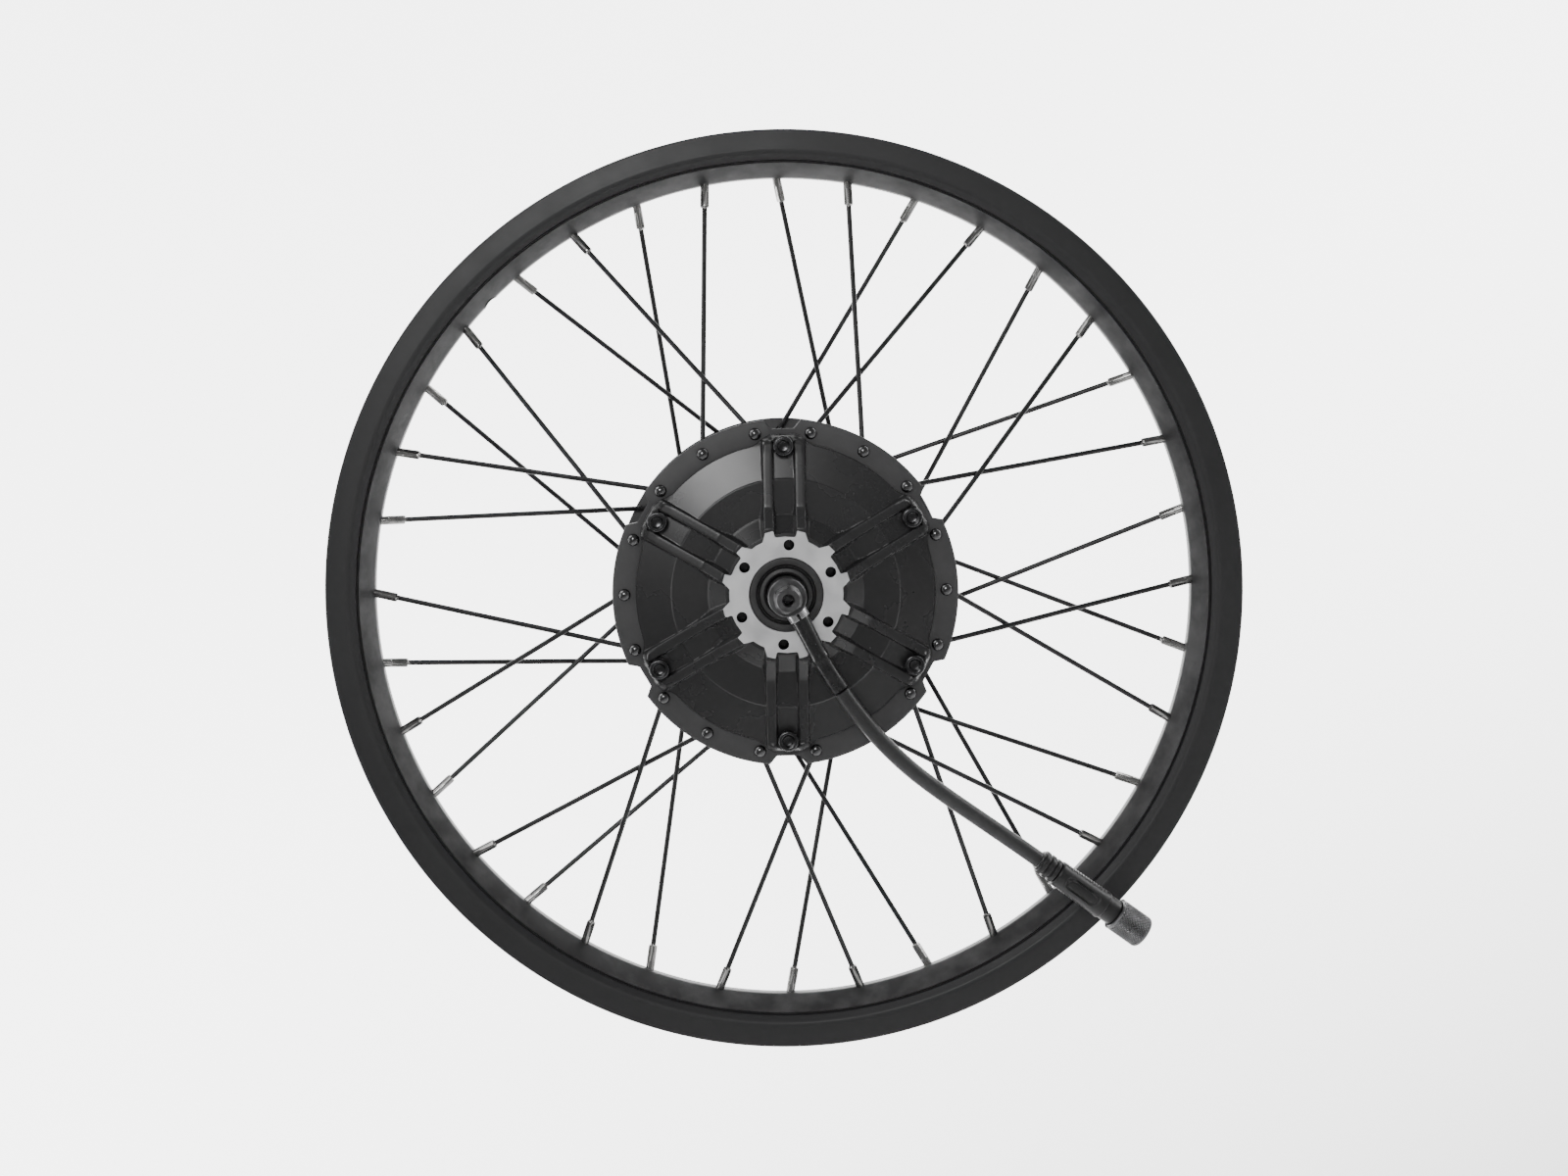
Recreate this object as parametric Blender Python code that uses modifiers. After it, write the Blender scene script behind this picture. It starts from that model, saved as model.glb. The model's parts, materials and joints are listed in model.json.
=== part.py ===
"""Rear geared hub motor wheel: 20 inch rim, 36 spokes, disc-brake cover, motor core and cable.

Every shape is modelled in the wheel's own axes and then turned upright by one parent empty:
x points right and y up as seen from the disc side, and w (local z) runs along the axle
towards the disc side. In the world the axle lies along Y, the disc side faces -Y.
Lengths are in millimetres until a helper multiplies them by MM.
"""
import math

import bmesh
import bpy
from mathutils import Matrix, Vector
from mathutils.geometry import interpolate_bezier

MM = 0.001
GAP = 0.3                     # left between two pieces that touch
NAME = "hub_motor_wheel"

# Rim (ISO 406, double wall)
RIM_OUTER_R = 210.0
RIM_WIDTH = 33.0
SIDE_WALL_INNER_R = 198.0
SPOKE_BED_R = 189.5
BEAD_SEAT_R = 203.0
WELL_R = 198.0
RIM_SKIN = 1.7
VALVE_HOLE_D = 8.5
VALVE_ANGLE = 105.0

# Spokes
SPOKES_PER_SIDE = 18
SPOKE_PITCH = 360.0 / SPOKES_PER_SIDE
SPOKE_D = 2.3
NIPPLE_D = 4.0
NIPPLE_LENGTH = 11.5
HEAD_CIRCLE_R = 72.0
HEAD_D = 5.6
NEAR_SPOKE_START = 10.0       # angle of the first disc-side spoke head
CROSSING_OFFSET = 0.95        # how far two crossing spokes pass each side of each other

# Hub shell
FLANGE_R = 77.5
FLANGE_THICKNESS = 3.5
NEAR_FLANGE_W = 38.6          # outer face of the disc-side flange
FAR_FLANGE_W = -21.4          # outer face of the drive-side flange
DRUM_R = 69.0
DRUM_BORE_R = 65.0
FREEWHEEL_THREAD_R = 17.25    # 1.37 inch thread, drawn at its outer diameter
FREEWHEEL_BOSS_W = -46.0
NOTCH_EDGE_WIDTH = 17.6
NOTCH_FLOOR_WIDTH = 10.0
NOTCH_DEPTH = 4.3

# Disc-side cover
COVER_R = 66.6
COVER_BOLT_R = 65.5
COVER_BOLTS = 6
COVER_BOLT_HEAD_R = 4.6
COVER_BOLT_SHANK_R = 1.9
BOLT_HOLE_R = 2.4
BOLT_SEAT_W = 43.2
DISC_FACE_W = 52.0
DISC_BOLT_CIRCLE_R = 22.0
DISC_HOLE_R = 2.1
DISC_HOLE_START = -4.0
RIB_WIDTH = 5.2
RIB_OFFSET = 7.15             # a rib's centre line from its pair's centre line

# Axle (135 mm between the frame's dropouts)
AXLE_TIP_W = 82.0
DROPOUT_FACE_W = 67.5
AXLE_THREAD_R = 6.0
AXLE_SHOULDER_R = 8.5
AXLE_STEP_W = 1.0
AXLE_FLAT = 10.0              # across the two flats
AXLE_CHAMFER = 0.9
CENTRE_HOLE_R = 2.4
CENTRE_HOLE_DEPTH = 10.0
CABLE_EXIT_W = 60.5

# Bearings, seal, spacer and clutch: outer radius, lower and upper end along w
DISC_SIDE_BEARING = (17.5, 36.3, 46.0)
DRIVE_SIDE_BEARING = (14.0, -38.0, -30.0)
ROTOR_BEARING = (14.0, -6.0, 0.5)
AXLE_SEAL = (16.3, 46.6, 51.6)
DRIVE_SIDE_SPACER = (9.0, -61.0, -38.3)
ONE_WAY_CLUTCH = (12.9, -26.2, -20.3)
LOCKNUT_CORNER_R = 9.8
LOCKNUT_TOP_W = -61.3

# Gear train: sun on the rotor, planets on fixed pins, ring in the shell
MODULE = 1.4
SUN_TEETH = 15
PLANET_TEETH = 24
RING_TEETH = SUN_TEETH + 2 * PLANET_TEETH
PLANETS = 3
GEAR_LOW_W = -20.0
GEAR_HIGH_W = -8.0
BACKLASH = 0.28               # taken off each tooth's width at the pitch line
ADDENDUM = 0.92               # in modules
DEDENDUM = 1.2                # in modules
FLANK_TAPER = 1.2             # a tooth is this much wider at its root, and narrower at its tip
PLANET_ORBIT_R = MODULE * (SUN_TEETH + PLANET_TEETH) / 2
PIN_R = 3.5
PLANET_BORE_R = PIN_R + GAP + 0.05
CARRIER_LOW_W = -25.0
CARRIER_R = 40.0

# Motor
STATOR_SLOTS = 18
MAGNETS = 20
STATOR_R = 50.0
STATOR_YOKE_R = 35.0
STATOR_BORE_R = 26.0
STATOR_HEIGHT = 18.0
MAGNET_INNER_R = 50.8
MAGNET_OUTER_R = 53.5
ROTOR_BORE_R = 54.0
ROTOR_R = 57.0
STATOR_LOW_W = AXLE_STEP_W + 0.5
STATOR_HIGH_W = STATOR_LOW_W + STATOR_HEIGHT
COIL_CENTRE_R = 41.6
COIL_WIDTH = 10.4
COIL_WINDOW = 6.4             # across the tooth the coil is wound on

# Cable: hand-chosen points (x, y, w) of its centre line, from the axle to the connector
CABLE_ROUTE = [
    (0.0, -9.0, 60.5),
    (-0.6, -18.7, 61.0),
    (-1.2, -30.0, 61.0),
    (-1.0, -43.8, 60.5),
    (0.2, -59.7, 59.5),
    (2.9, -76.6, 57.5),
    (7.6, -94.2, 54.0),
    (14.2, -111.6, 49.5),
    (22.2, -130.2, 44.8),
    (30.2, -148.4, 41.2),
    (35.5, -160.6, 39.7),
]
CABLE_D = 7.2
CABLE_STEP = 15.0
BOOT_LENGTH = 38.0
BOOT_ROOT_D = 8.4
BOOT_TIP_D = 7.8

# Connector, measured along its own axis from the end of the cable
STRAIN_RELIEF_LENGTH = 9.2
STRAIN_RELIEF_R = 5.5
PLUG_LENGTH = 26.4
PLUG_ROOT_R = 6.0
PLUG_R = 6.6
COLLAR_R = 5.9
COLLAR_LENGTH = 5.8
NUT_R = 7.6
NUT_LENGTH = 16.0
NUT_BORE_R = 6.0
CONNECTOR_TILT_W = -0.06      # how steeply the connector leans back towards the rim

BLACK_PAINT = ("black_paint", (0.030, 0.030, 0.032), 0.45, 0.0)
RIM_PAINT = ("rim_anodised", (0.022, 0.022, 0.024), 0.38, 0.3)
BARE_ALUMINIUM = ("machined_aluminium", (0.72, 0.72, 0.73), 0.35, 1.0)
BLACK_STEEL = ("black_oxide_steel", (0.020, 0.020, 0.022), 0.35, 0.6)
BRIGHT_STEEL = ("bright_steel", (0.55, 0.55, 0.56), 0.28, 1.0)
AXLE_STEEL = ("axle_steel", (0.16, 0.16, 0.17), 0.38, 1.0)
GREY_STEEL = ("lamination_steel", (0.33, 0.33, 0.35), 0.45, 1.0)
COPPER = ("copper", (0.72, 0.30, 0.13), 0.35, 1.0)
NYLON = ("nylon", (0.78, 0.76, 0.68), 0.5, 0.0)
MAGNET = ("magnet", (0.42, 0.42, 0.44), 0.35, 1.0)
BLACK_RUBBER = ("black_rubber", (0.018, 0.018, 0.019), 0.6, 0.0)
CIRCUIT_BOARD = ("circuit_board", (0.03, 0.16, 0.07), 0.4, 0.0)
GUN_METAL = ("gun_metal", (0.22, 0.22, 0.23), 0.35, 1.0)


# ---------------------------------------------------------------- scene and helpers

def clear_scene():
    for obj in list(bpy.data.objects):
        bpy.data.objects.remove(obj)


def new_collection(name):
    collection = bpy.data.collections.new(name)
    bpy.context.scene.collection.children.link(collection)
    return collection


def make_material(spec):
    name, color, roughness, metallic = spec
    material = bpy.data.materials.get(name)
    if material is None:
        material = bpy.data.materials.new(name)
        material.use_nodes = True
        shader = material.node_tree.nodes["Principled BSDF"]
        shader.inputs["Base Color"].default_value = (*color, 1.0)
        shader.inputs["Roughness"].default_value = roughness
        shader.inputs["Metallic"].default_value = metallic
    return material


def mm_point(x, y, w):
    return Vector((x, y, w)) * MM


def polar(radius, degrees, w=0.0):
    """A point in millimetres at this radius and angle round the axle."""
    angle = math.radians(degrees)
    return Vector((radius * math.cos(angle), radius * math.sin(angle), w))


def add_object(name, data, spec=None, parent=None):
    """Link an object: a part if it has a material spec, a hidden cutter if not."""
    obj = bpy.data.objects.new(name, data)
    obj.parent = parent or wheel_axes
    if spec is None:
        cutters.objects.link(obj)
        obj.hide_render = True
        obj.display_type = "WIRE"
    else:
        parts.objects.link(obj)
        data.materials.append(make_material(spec))
    return obj


def smooth(obj, angle=35.0):
    obj.data.shade_smooth()
    obj.data.set_sharp_from_angle(angle=math.radians(angle))


def mesh_from_bmesh(name, bm):
    mesh = bpy.data.meshes.new(name)
    bm.to_mesh(mesh)
    bm.free()
    return mesh


def turned(name, profile, spec, steps=36, extra_loop=None, closed=True, parent=None):
    """Turn a closed (r, w) profile, listed clockwise, round the w axis.

    extra_loop is a hollow inside the section, listed anticlockwise. An open profile
    starts and ends on the axis.
    """
    bm = bmesh.new()
    for loop in [profile] + ([extra_loop] if extra_loop else []):
        verts = [bm.verts.new(mm_point(r, 0, w)) for r, w in loop]
        pairs = zip(verts, verts[1:] + verts[:1]) if closed else zip(verts, verts[1:])
        for first, second in pairs:
            bm.edges.new((first, second))
    obj = add_object(name, mesh_from_bmesh(name, bm), spec, parent)
    screw = obj.modifiers.new("turn", "SCREW")
    screw.axis = "Z"
    screw.steps = steps
    screw.render_steps = steps
    screw.use_merge_vertices = True
    screw.merge_threshold = 0.00001
    return obj


def extruded(name, loops, low_w, high_w, spec=None, parent=None):
    """A flat outline, with any further loops as holes in it, given thickness along w."""
    curve = bpy.data.curves.new(name, "CURVE")
    curve.dimensions = "2D"
    curve.fill_mode = "BOTH"
    curve.extrude = (high_w - low_w) / 2 * MM
    for loop in loops:
        spline = curve.splines.new("POLY")
        spline.points.add(len(loop) - 1)
        spline.use_cyclic_u = True
        for point, corner in zip(spline.points, loop):
            point.co = (corner[0] * MM, corner[1] * MM, 0, 1)
    return mesh_from_curve(name, curve, spec, parent, lift=(high_w + low_w) / 2)


def mesh_from_curve(name, curve, spec, parent=None, lift=0.0):
    """Bake a curve to a welded mesh, so that it can be cut and joined."""
    guide = bpy.data.objects.new(name + "_curve", curve)
    bpy.context.scene.collection.objects.link(guide)
    bpy.context.view_layer.update()
    evaluated = guide.evaluated_get(bpy.context.evaluated_depsgraph_get())
    mesh = bpy.data.meshes.new_from_object(evaluated)
    bm = bmesh.new()
    bm.from_mesh(mesh)
    bmesh.ops.remove_doubles(bm, verts=bm.verts, dist=0.00001)
    bmesh.ops.translate(bm, verts=bm.verts, vec=(0, 0, lift * MM))
    bmesh.ops.recalc_face_normals(bm, faces=bm.faces)
    bm.to_mesh(mesh)
    bm.free()
    mesh.name = name
    mesh.materials.clear()
    bpy.data.objects.remove(guide)
    return add_object(name, mesh, spec, parent)


def tube_curve(name, path, diameters, sides_resolution=2):
    """A POLY curve in millimetres with a round bevel and capped ends."""
    curve = bpy.data.curves.new(name, "CURVE")
    curve.dimensions = "3D"
    curve.use_fill_caps = True
    curve.bevel_depth = diameters[0] / 2 * MM
    curve.bevel_resolution = sides_resolution
    spline = curve.splines.new("POLY")
    spline.points.add(len(path) - 1)
    for point, place, diameter in zip(spline.points, path, diameters):
        point.co = (*(Vector(place) * MM), 1)
        point.radius = diameter / diameters[0]
    return curve


def add_cylinder(bm, centre, radius, low_w, high_w, sides):
    """Add a cylinder along w to a bmesh."""
    bmesh.ops.create_cone(
        bm,
        cap_ends=True,
        segments=sides,
        radius1=radius * MM,
        radius2=radius * MM,
        depth=(high_w - low_w) * MM,
        matrix=Matrix.Translation(mm_point(centre[0], centre[1], (low_w + high_w) / 2)),
    )


def cylinder_group(name, centres, radius, low_w, high_w, sides, spec=None):
    bm = bmesh.new()
    for centre in centres:
        add_cylinder(bm, centre, radius, low_w, high_w, sides)
    return add_object(name, mesh_from_bmesh(name, bm), spec)


def boolean(target, tool, operation):
    modifier = target.modifiers.new(tool.name, "BOOLEAN")
    modifier.solver = "EXACT"
    modifier.operation = operation
    modifier.object = tool


def cut(target, *tools):
    for tool in tools:
        boolean(target, tool, "DIFFERENCE")


def join(target, *tools):
    for tool in tools:
        boolean(target, tool, "UNION")


def ring_of(radius, count, start=0.0):
    return [polar(radius, start + 360 / count * k) for k in range(count)]


def smooth_route(points, step):
    """Evenly spaced points along a smooth curve through the route's own points."""
    points = [Vector(p) for p in points]
    slopes = [(b - a) / 2 for a, b in zip(points, points[2:])]
    slopes = [points[1] - points[0]] + slopes + [points[-1] - points[-2]]
    fine = []
    for k in range(len(points) - 1):
        first, last = points[k], points[k + 1]
        handles = first + slopes[k] / 3, last - slopes[k + 1] / 3
        fine += interpolate_bezier(first, *handles, last, 24)[:-1]
    fine.append(points[-1])
    lengths = [0.0]
    for a, b in zip(fine, fine[1:]):
        lengths.append(lengths[-1] + (b - a).length)
    count = max(2, round(lengths[-1] / step))
    route = []
    for k in range(count + 1):
        wanted = lengths[-1] * k / count
        index = next(i for i in range(1, len(lengths)) if lengths[i] >= wanted - 1e-6)
        share = (wanted - lengths[index - 1]) / (lengths[index] - lengths[index - 1])
        route.append(fine[index - 1].lerp(fine[index], share))
    return route


# ---------------------------------------------------------------- rim and spokes

def rim_section():
    """The rim's outline, clockwise from the inner corner of its disc-side wall."""
    half = RIM_WIDTH / 2
    upper = [
        (SIDE_WALL_INNER_R, half),
        (RIM_OUTER_R, half),
        (RIM_OUTER_R, half - 2.1),
        (BEAD_SEAT_R + 0.4, half - 2.9),
        (BEAD_SEAT_R - 0.4, 7.5),
        (WELL_R, 5.5),
    ]
    lower = [(r, -w) for r, w in reversed(upper)]
    bed = [
        (SIDE_WALL_INNER_R - 2.4, -half + 1.9),
        (SPOKE_BED_R, 0.0),
        (SIDE_WALL_INNER_R - 2.4, half - 1.9),
    ]
    return upper + lower + bed


def rim_chamber():
    """The hollow between the rim's two walls, anticlockwise."""
    return [
        (SPOKE_BED_R + RIM_SKIN + 0.2, 0.0),
        (SIDE_WALL_INNER_R - 1.2, -12.6),
        (BEAD_SEAT_R - 2.0, -12.6),
        (WELL_R - RIM_SKIN, -5.8),
        (WELL_R - RIM_SKIN, 5.8),
        (BEAD_SEAT_R - 2.0, 12.6),
        (SIDE_WALL_INNER_R - 1.2, 12.6),
    ]


def radial_drill(name, degrees, radius, near_r, far_r, w=0.0):
    """A round cutter that points out from the axle at this angle."""
    bm = bmesh.new()
    turn = Matrix.Rotation(math.radians(degrees), 4, "Z") @ Matrix.Rotation(math.pi / 2, 4, "Y")
    place = Matrix.Translation(mm_point(0, 0, w)) @ turn
    bmesh.ops.create_cone(
        bm,
        cap_ends=True,
        segments=12,
        radius1=radius * MM,
        radius2=radius * MM,
        depth=(far_r - near_r) * MM,
        matrix=place @ Matrix.Translation((0, 0, (near_r + far_r) / 2 * MM)),
    )
    return add_object(name, mesh_from_bmesh(name, bm))


def build_rim():
    rim = turned("rim", rim_section(), RIM_PAINT, steps=48, extra_loop=rim_chamber())
    cut(rim, radial_drill("valve_drill", VALVE_ANGLE, VALVE_HOLE_D / 2, SPOKE_BED_R - 9.5, RIM_OUTER_R))


def spoke_path(head_angle, nipple_angle, side, lift):
    """Centre line of one spoke, from its head to the tip of its nipple.

    side is +1 at the disc-side flange and -1 at the drive side. lift moves the crossing
    point to one side of the pair's plane.
    """
    outer = NEAR_FLANGE_W if side > 0 else FAR_FLANGE_W
    inner = outer - side * (FLANGE_THICKNESS + GAP + SPOKE_D / 2)
    head = polar(HEAD_CIRCLE_R, head_angle, outer + side * GAP)
    elbow = polar(HEAD_CIRCLE_R, head_angle, inner)
    tip = polar(SPOKE_BED_R - 0.8, nipple_angle, side * 1.6)
    shoulder = tip + (elbow - tip).normalized() * NIPPLE_LENGTH
    middle = math.radians((nipple_angle - head_angle) / 2)
    along = tip - elbow
    reach = crossing_share(head_angle, nipple_angle)
    crossing = elbow + along * reach + Vector((0, 0, lift * math.copysign(1, middle)))
    return head, elbow, crossing, shoulder, tip


def crossing_share(head_angle, nipple_angle):
    """How far along a spoke it meets the pair's mirror line, as a share of its length."""
    half = math.radians(abs(nipple_angle - head_angle) / 2)
    head_off = HEAD_CIRCLE_R * math.sin(half)
    tip_off = (SPOKE_BED_R - 0.8) * math.sin(half)
    return head_off / (head_off + tip_off)


def build_spoke(name, head_angle, nipple_angle, side, spec):
    """One spoke with its head and nipple as a single tapered curve."""
    head, elbow, crossing, shoulder, tip = spoke_path(
        head_angle, nipple_angle, side, CROSSING_OFFSET
    )
    out = Vector((0, 0, side))
    into = (elbow - shoulder).normalized()
    path = [
        head + out * 2.0,
        head + out * 0.5,
        head,
        elbow,
        crossing,
        shoulder + into * 0.5,
        shoulder,
        tip,
    ]
    widths = [HEAD_D * 0.5, HEAD_D] + [SPOKE_D] * 4 + [NIPPLE_D] * 2
    curve = tube_curve(name, path, widths, sides_resolution=0)
    return mesh_from_curve(name, curve, spec)


def build_spoke_pairs(side_name, side, start):
    """Nine pairs of crossing spokes. The two spokes of a pair touch where they cross."""
    for pair in range(SPOKES_PER_SIDE // 2):
        first = start + 2 * SPOKE_PITCH * pair
        second = first + SPOKE_PITCH
        name = f"{side_name}_spoke_pair_{pair + 1}"
        spoke = build_spoke(name, first, second, side, BLACK_STEEL)
        partner = build_spoke(name + "_partner", second, first, side, None)
        join(spoke, partner)


# ---------------------------------------------------------------- hub shell and cover

def notch_cutters():
    """Six trapezoid prisms that notch the disc-side flange between pairs of spokes."""
    half_edge = NOTCH_EDGE_WIDTH / 2
    half_floor = NOTCH_FLOOR_WIDTH / 2
    floor = FLANGE_R - NOTCH_DEPTH
    outline = [
        (floor, -half_floor),
        (FLANGE_R + 0.2, -half_edge),
        (FLANGE_R + 3, -half_edge),
        (FLANGE_R + 3, half_edge),
        (FLANGE_R + 0.2, half_edge),
        (floor, half_floor),
    ]
    low = NEAR_FLANGE_W - FLANGE_THICKNESS - 1
    tools = []
    for k in range(COVER_BOLTS):
        tool = extruded(f"notch_cutter_{k + 1}", [outline], low, NEAR_FLANGE_W + 1)
        tool.rotation_euler.z = math.radians(60 * k)
        tools.append(tool)
    return tools


def shell_section():
    """The hub shell's outline, clockwise from the mouth on the disc side."""
    near_inner = NEAR_FLANGE_W - FLANGE_THICKNESS
    far_inner = FAR_FLANGE_W + FLANGE_THICKNESS
    return [
        (61.0, NEAR_FLANGE_W),
        (FLANGE_R, NEAR_FLANGE_W),
        (FLANGE_R, near_inner),
        (DRUM_R, near_inner),
        (DRUM_R, far_inner),
        (FLANGE_R, far_inner),
        (FLANGE_R, FAR_FLANGE_W),
        (62.0, FAR_FLANGE_W),
        (54.0, -30.0),
        (FREEWHEEL_THREAD_R, -30.0),
        (FREEWHEEL_THREAD_R, FREEWHEEL_BOSS_W),
        (14.3, FREEWHEEL_BOSS_W),
        (14.3, -29.7),
        (11.0, -29.7),
        (11.0, -26.5),
        (45.0, -26.5),
        (45.0, GEAR_LOW_W - GAP),
        (57.0, GEAR_LOW_W - GAP),
        (DRUM_BORE_R, -14.0),
        (DRUM_BORE_R, 28.0),
        (61.0, 28.0),
    ]


def build_hub_shell():
    shell = turned("hub_shell", shell_section(), BLACK_PAINT)
    hole_r = SPOKE_D / 2 + 0.45
    near = ring_of(HEAD_CIRCLE_R, SPOKES_PER_SIDE, NEAR_SPOKE_START)
    far = ring_of(HEAD_CIRCLE_R, SPOKES_PER_SIDE, NEAR_SPOKE_START + SPOKE_PITCH / 2)
    bolts = ring_of(COVER_BOLT_R, COVER_BOLTS)
    near_w = NEAR_FLANGE_W - FLANGE_THICKNESS
    far_w = FAR_FLANGE_W + FLANGE_THICKNESS
    cut(
        shell,
        *notch_cutters(),
        cylinder_group("near_spoke_holes", near, hole_r, near_w - 1, NEAR_FLANGE_W + 1, 6),
        cylinder_group("far_spoke_holes", far, hole_r, FAR_FLANGE_W - 1, far_w + 1, 6),
        cylinder_group("shell_bolt_holes", bolts, BOLT_HOLE_R, 30.0, NEAR_FLANGE_W + 1, 8),
    )


def cover_section():
    """The cover's outline, clockwise from the bore edge of the disc face."""
    return [
        (16.6, DISC_FACE_W),
        (25.2, DISC_FACE_W),
        (25.5, 50.3),
        (28.5, 50.1),
        (34.8, 43.9),
        (51.5, 43.5),
        (COVER_R, 40.9),
        (COVER_R, NEAR_FLANGE_W + GAP),
        (60.7, NEAR_FLANGE_W + GAP),
        (60.7, 35.5),
        (57.5, 35.5),
        (50.0, 39.8),
        (24.0, 39.8),
        (22.0, 36.0),
        (17.8, 36.0),
        (17.8, 46.3),
        (16.6, 46.3),
    ]


def rib_tool(index, angle, offset):
    """One radial rib: a side outline in (r, w) given the rib's width."""
    outline = [
        (24.0, 41.5),
        (24.0, DISC_FACE_W - 0.1),
        (31.0, DISC_FACE_W - 0.3),
        (37.0, 46.8),
        (40.0, 46.2),
        (62.0, 46.0),
        (66.2, 43.6),
        (66.2, 39.9),
        (58.0, 41.0),
    ]
    low = offset - RIB_WIDTH / 2
    rib = extruded(f"rib_{index}", [outline], low, low + RIB_WIDTH)
    stand = Matrix.Rotation(math.pi / 2, 4, "X")
    rib.matrix_local = Matrix.Rotation(math.radians(angle), 4, "Z") @ stand
    return rib


def build_cover():
    cover = turned("disc_side_cover", cover_section(), BLACK_PAINT)
    for k in range(COVER_BOLTS):
        for side in (-1, 1):
            join(cover, rib_tool(2 * k + (side + 3) // 2, 60 * k, side * RIB_OFFSET))
    bolts = ring_of(COVER_BOLT_R, COVER_BOLTS)
    seat = NEAR_FLANGE_W + GAP
    discs = ring_of(DISC_BOLT_CIRCLE_R, COVER_BOLTS, DISC_HOLE_START)
    join(cover, cylinder_group("bolt_lobes", bolts, 5.1, seat, BOLT_SEAT_W, 12))
    cut(
        cover,
        cylinder_group("bolt_seats", bolts, 5.4, BOLT_SEAT_W - 0.05, 50.0, 12),
        cylinder_group("cover_bolt_holes", bolts, BOLT_HOLE_R, 30.0, 50.0, 8),
        cylinder_group("disc_holes", discs, DISC_HOLE_R, 45.0, DISC_FACE_W + 1, 8),
    )


def build_cover_bolts():
    head_w = BOLT_SEAT_W + GAP
    for k, centre in enumerate(ring_of(COVER_BOLT_R, COVER_BOLTS)):
        name = f"cover_bolt_{k + 1}"
        bolt = cylinder_group(name, [centre], COVER_BOLT_HEAD_R, head_w, head_w + 3.8, 12,
                              BLACK_STEEL)
        shank = cylinder_group(name + "_shank", [centre], COVER_BOLT_SHANK_R, 31.0,
                               head_w + 0.5, 8)
        socket = cylinder_group(name + "_socket", [centre], 2.3, head_w + 1.8, head_w + 5, 6)
        join(bolt, shank)
        cut(bolt, socket)


# ---------------------------------------------------------------- axle, bearings, seal

def ring(name, inner, outer, low, high, spec, steps=24):
    """A plain ring of rectangular section round the axle."""
    section = [(inner, high), (outer, high), (outer, low), (inner, low)]
    return turned(name, section, spec, steps=steps)


def axle_section():
    """Half the axle's outline, clockwise from the bottom of its centre hole."""
    return [
        (0, AXLE_TIP_W - CENTRE_HOLE_DEPTH),
        (CENTRE_HOLE_R, AXLE_TIP_W - CENTRE_HOLE_DEPTH),
        (CENTRE_HOLE_R, AXLE_TIP_W),
        (AXLE_THREAD_R - AXLE_CHAMFER, AXLE_TIP_W),
        (AXLE_THREAD_R, AXLE_TIP_W - AXLE_CHAMFER),
        (AXLE_THREAD_R, DROPOUT_FACE_W),
        (AXLE_SHOULDER_R, DROPOUT_FACE_W),
        (AXLE_SHOULDER_R, AXLE_STEP_W),
        (AXLE_THREAD_R, AXLE_STEP_W),
        (AXLE_THREAD_R, AXLE_CHAMFER - AXLE_TIP_W),
        (AXLE_THREAD_R - AXLE_CHAMFER, -AXLE_TIP_W),
        (0, -AXLE_TIP_W),
    ]


def axle_flat_cutter():
    """Four blocks that leave two flats on each end of the axle."""
    bm = bmesh.new()
    length = AXLE_TIP_W - DROPOUT_FACE_W + 2
    middle_w = DROPOUT_FACE_W + GAP + length / 2
    block = Matrix.Diagonal((20 * MM, 4 * MM, length * MM, 1))
    for end in (-1, 1):
        for side in (-1, 1):
            place = Matrix.Translation(mm_point(0, side * (AXLE_FLAT / 2 + 2), end * middle_w))
            bmesh.ops.create_cube(bm, size=1, matrix=place @ block)
    return add_object("axle_flat_cutter", mesh_from_bmesh("axle_flat_cutter", bm))


def build_axle():
    axle = turned("axle", axle_section(), AXLE_STEEL, steps=24, closed=False)
    cable_exit = radial_drill("cable_exit_drill", -90.0, BOOT_ROOT_D / 2 + 0.4, 4.0, 12.0,
                              CABLE_EXIT_W)
    cut(axle, axle_flat_cutter(), cable_exit)


def fitted_ring(name, bore_r, size, spec):
    """A plain ring on the axle, given its outer radius and its two ends."""
    outer, low, high = size
    section = [(bore_r, high), (outer, high), (outer, low), (bore_r, low)]
    turned(name, section, spec, steps=24)


def build_axle_fittings():
    on_shoulder = AXLE_SHOULDER_R + GAP
    on_thread = AXLE_THREAD_R + GAP
    fitted_ring("disc_side_bearing", on_shoulder, DISC_SIDE_BEARING, BRIGHT_STEEL)
    fitted_ring("axle_seal", on_shoulder, AXLE_SEAL, BLACK_RUBBER)
    fitted_ring("drive_side_bearing", on_thread + 0.1, DRIVE_SIDE_BEARING, BRIGHT_STEEL)
    fitted_ring("drive_side_spacer", on_thread, DRIVE_SIDE_SPACER, GREY_STEEL)
    extruded("drive_side_locknut", [circle(LOCKNUT_CORNER_R, 6), circle(on_thread, 24)],
             -DROPOUT_FACE_W, LOCKNUT_TOP_W, BRIGHT_STEEL)


# ---------------------------------------------------------------- gear train

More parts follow.
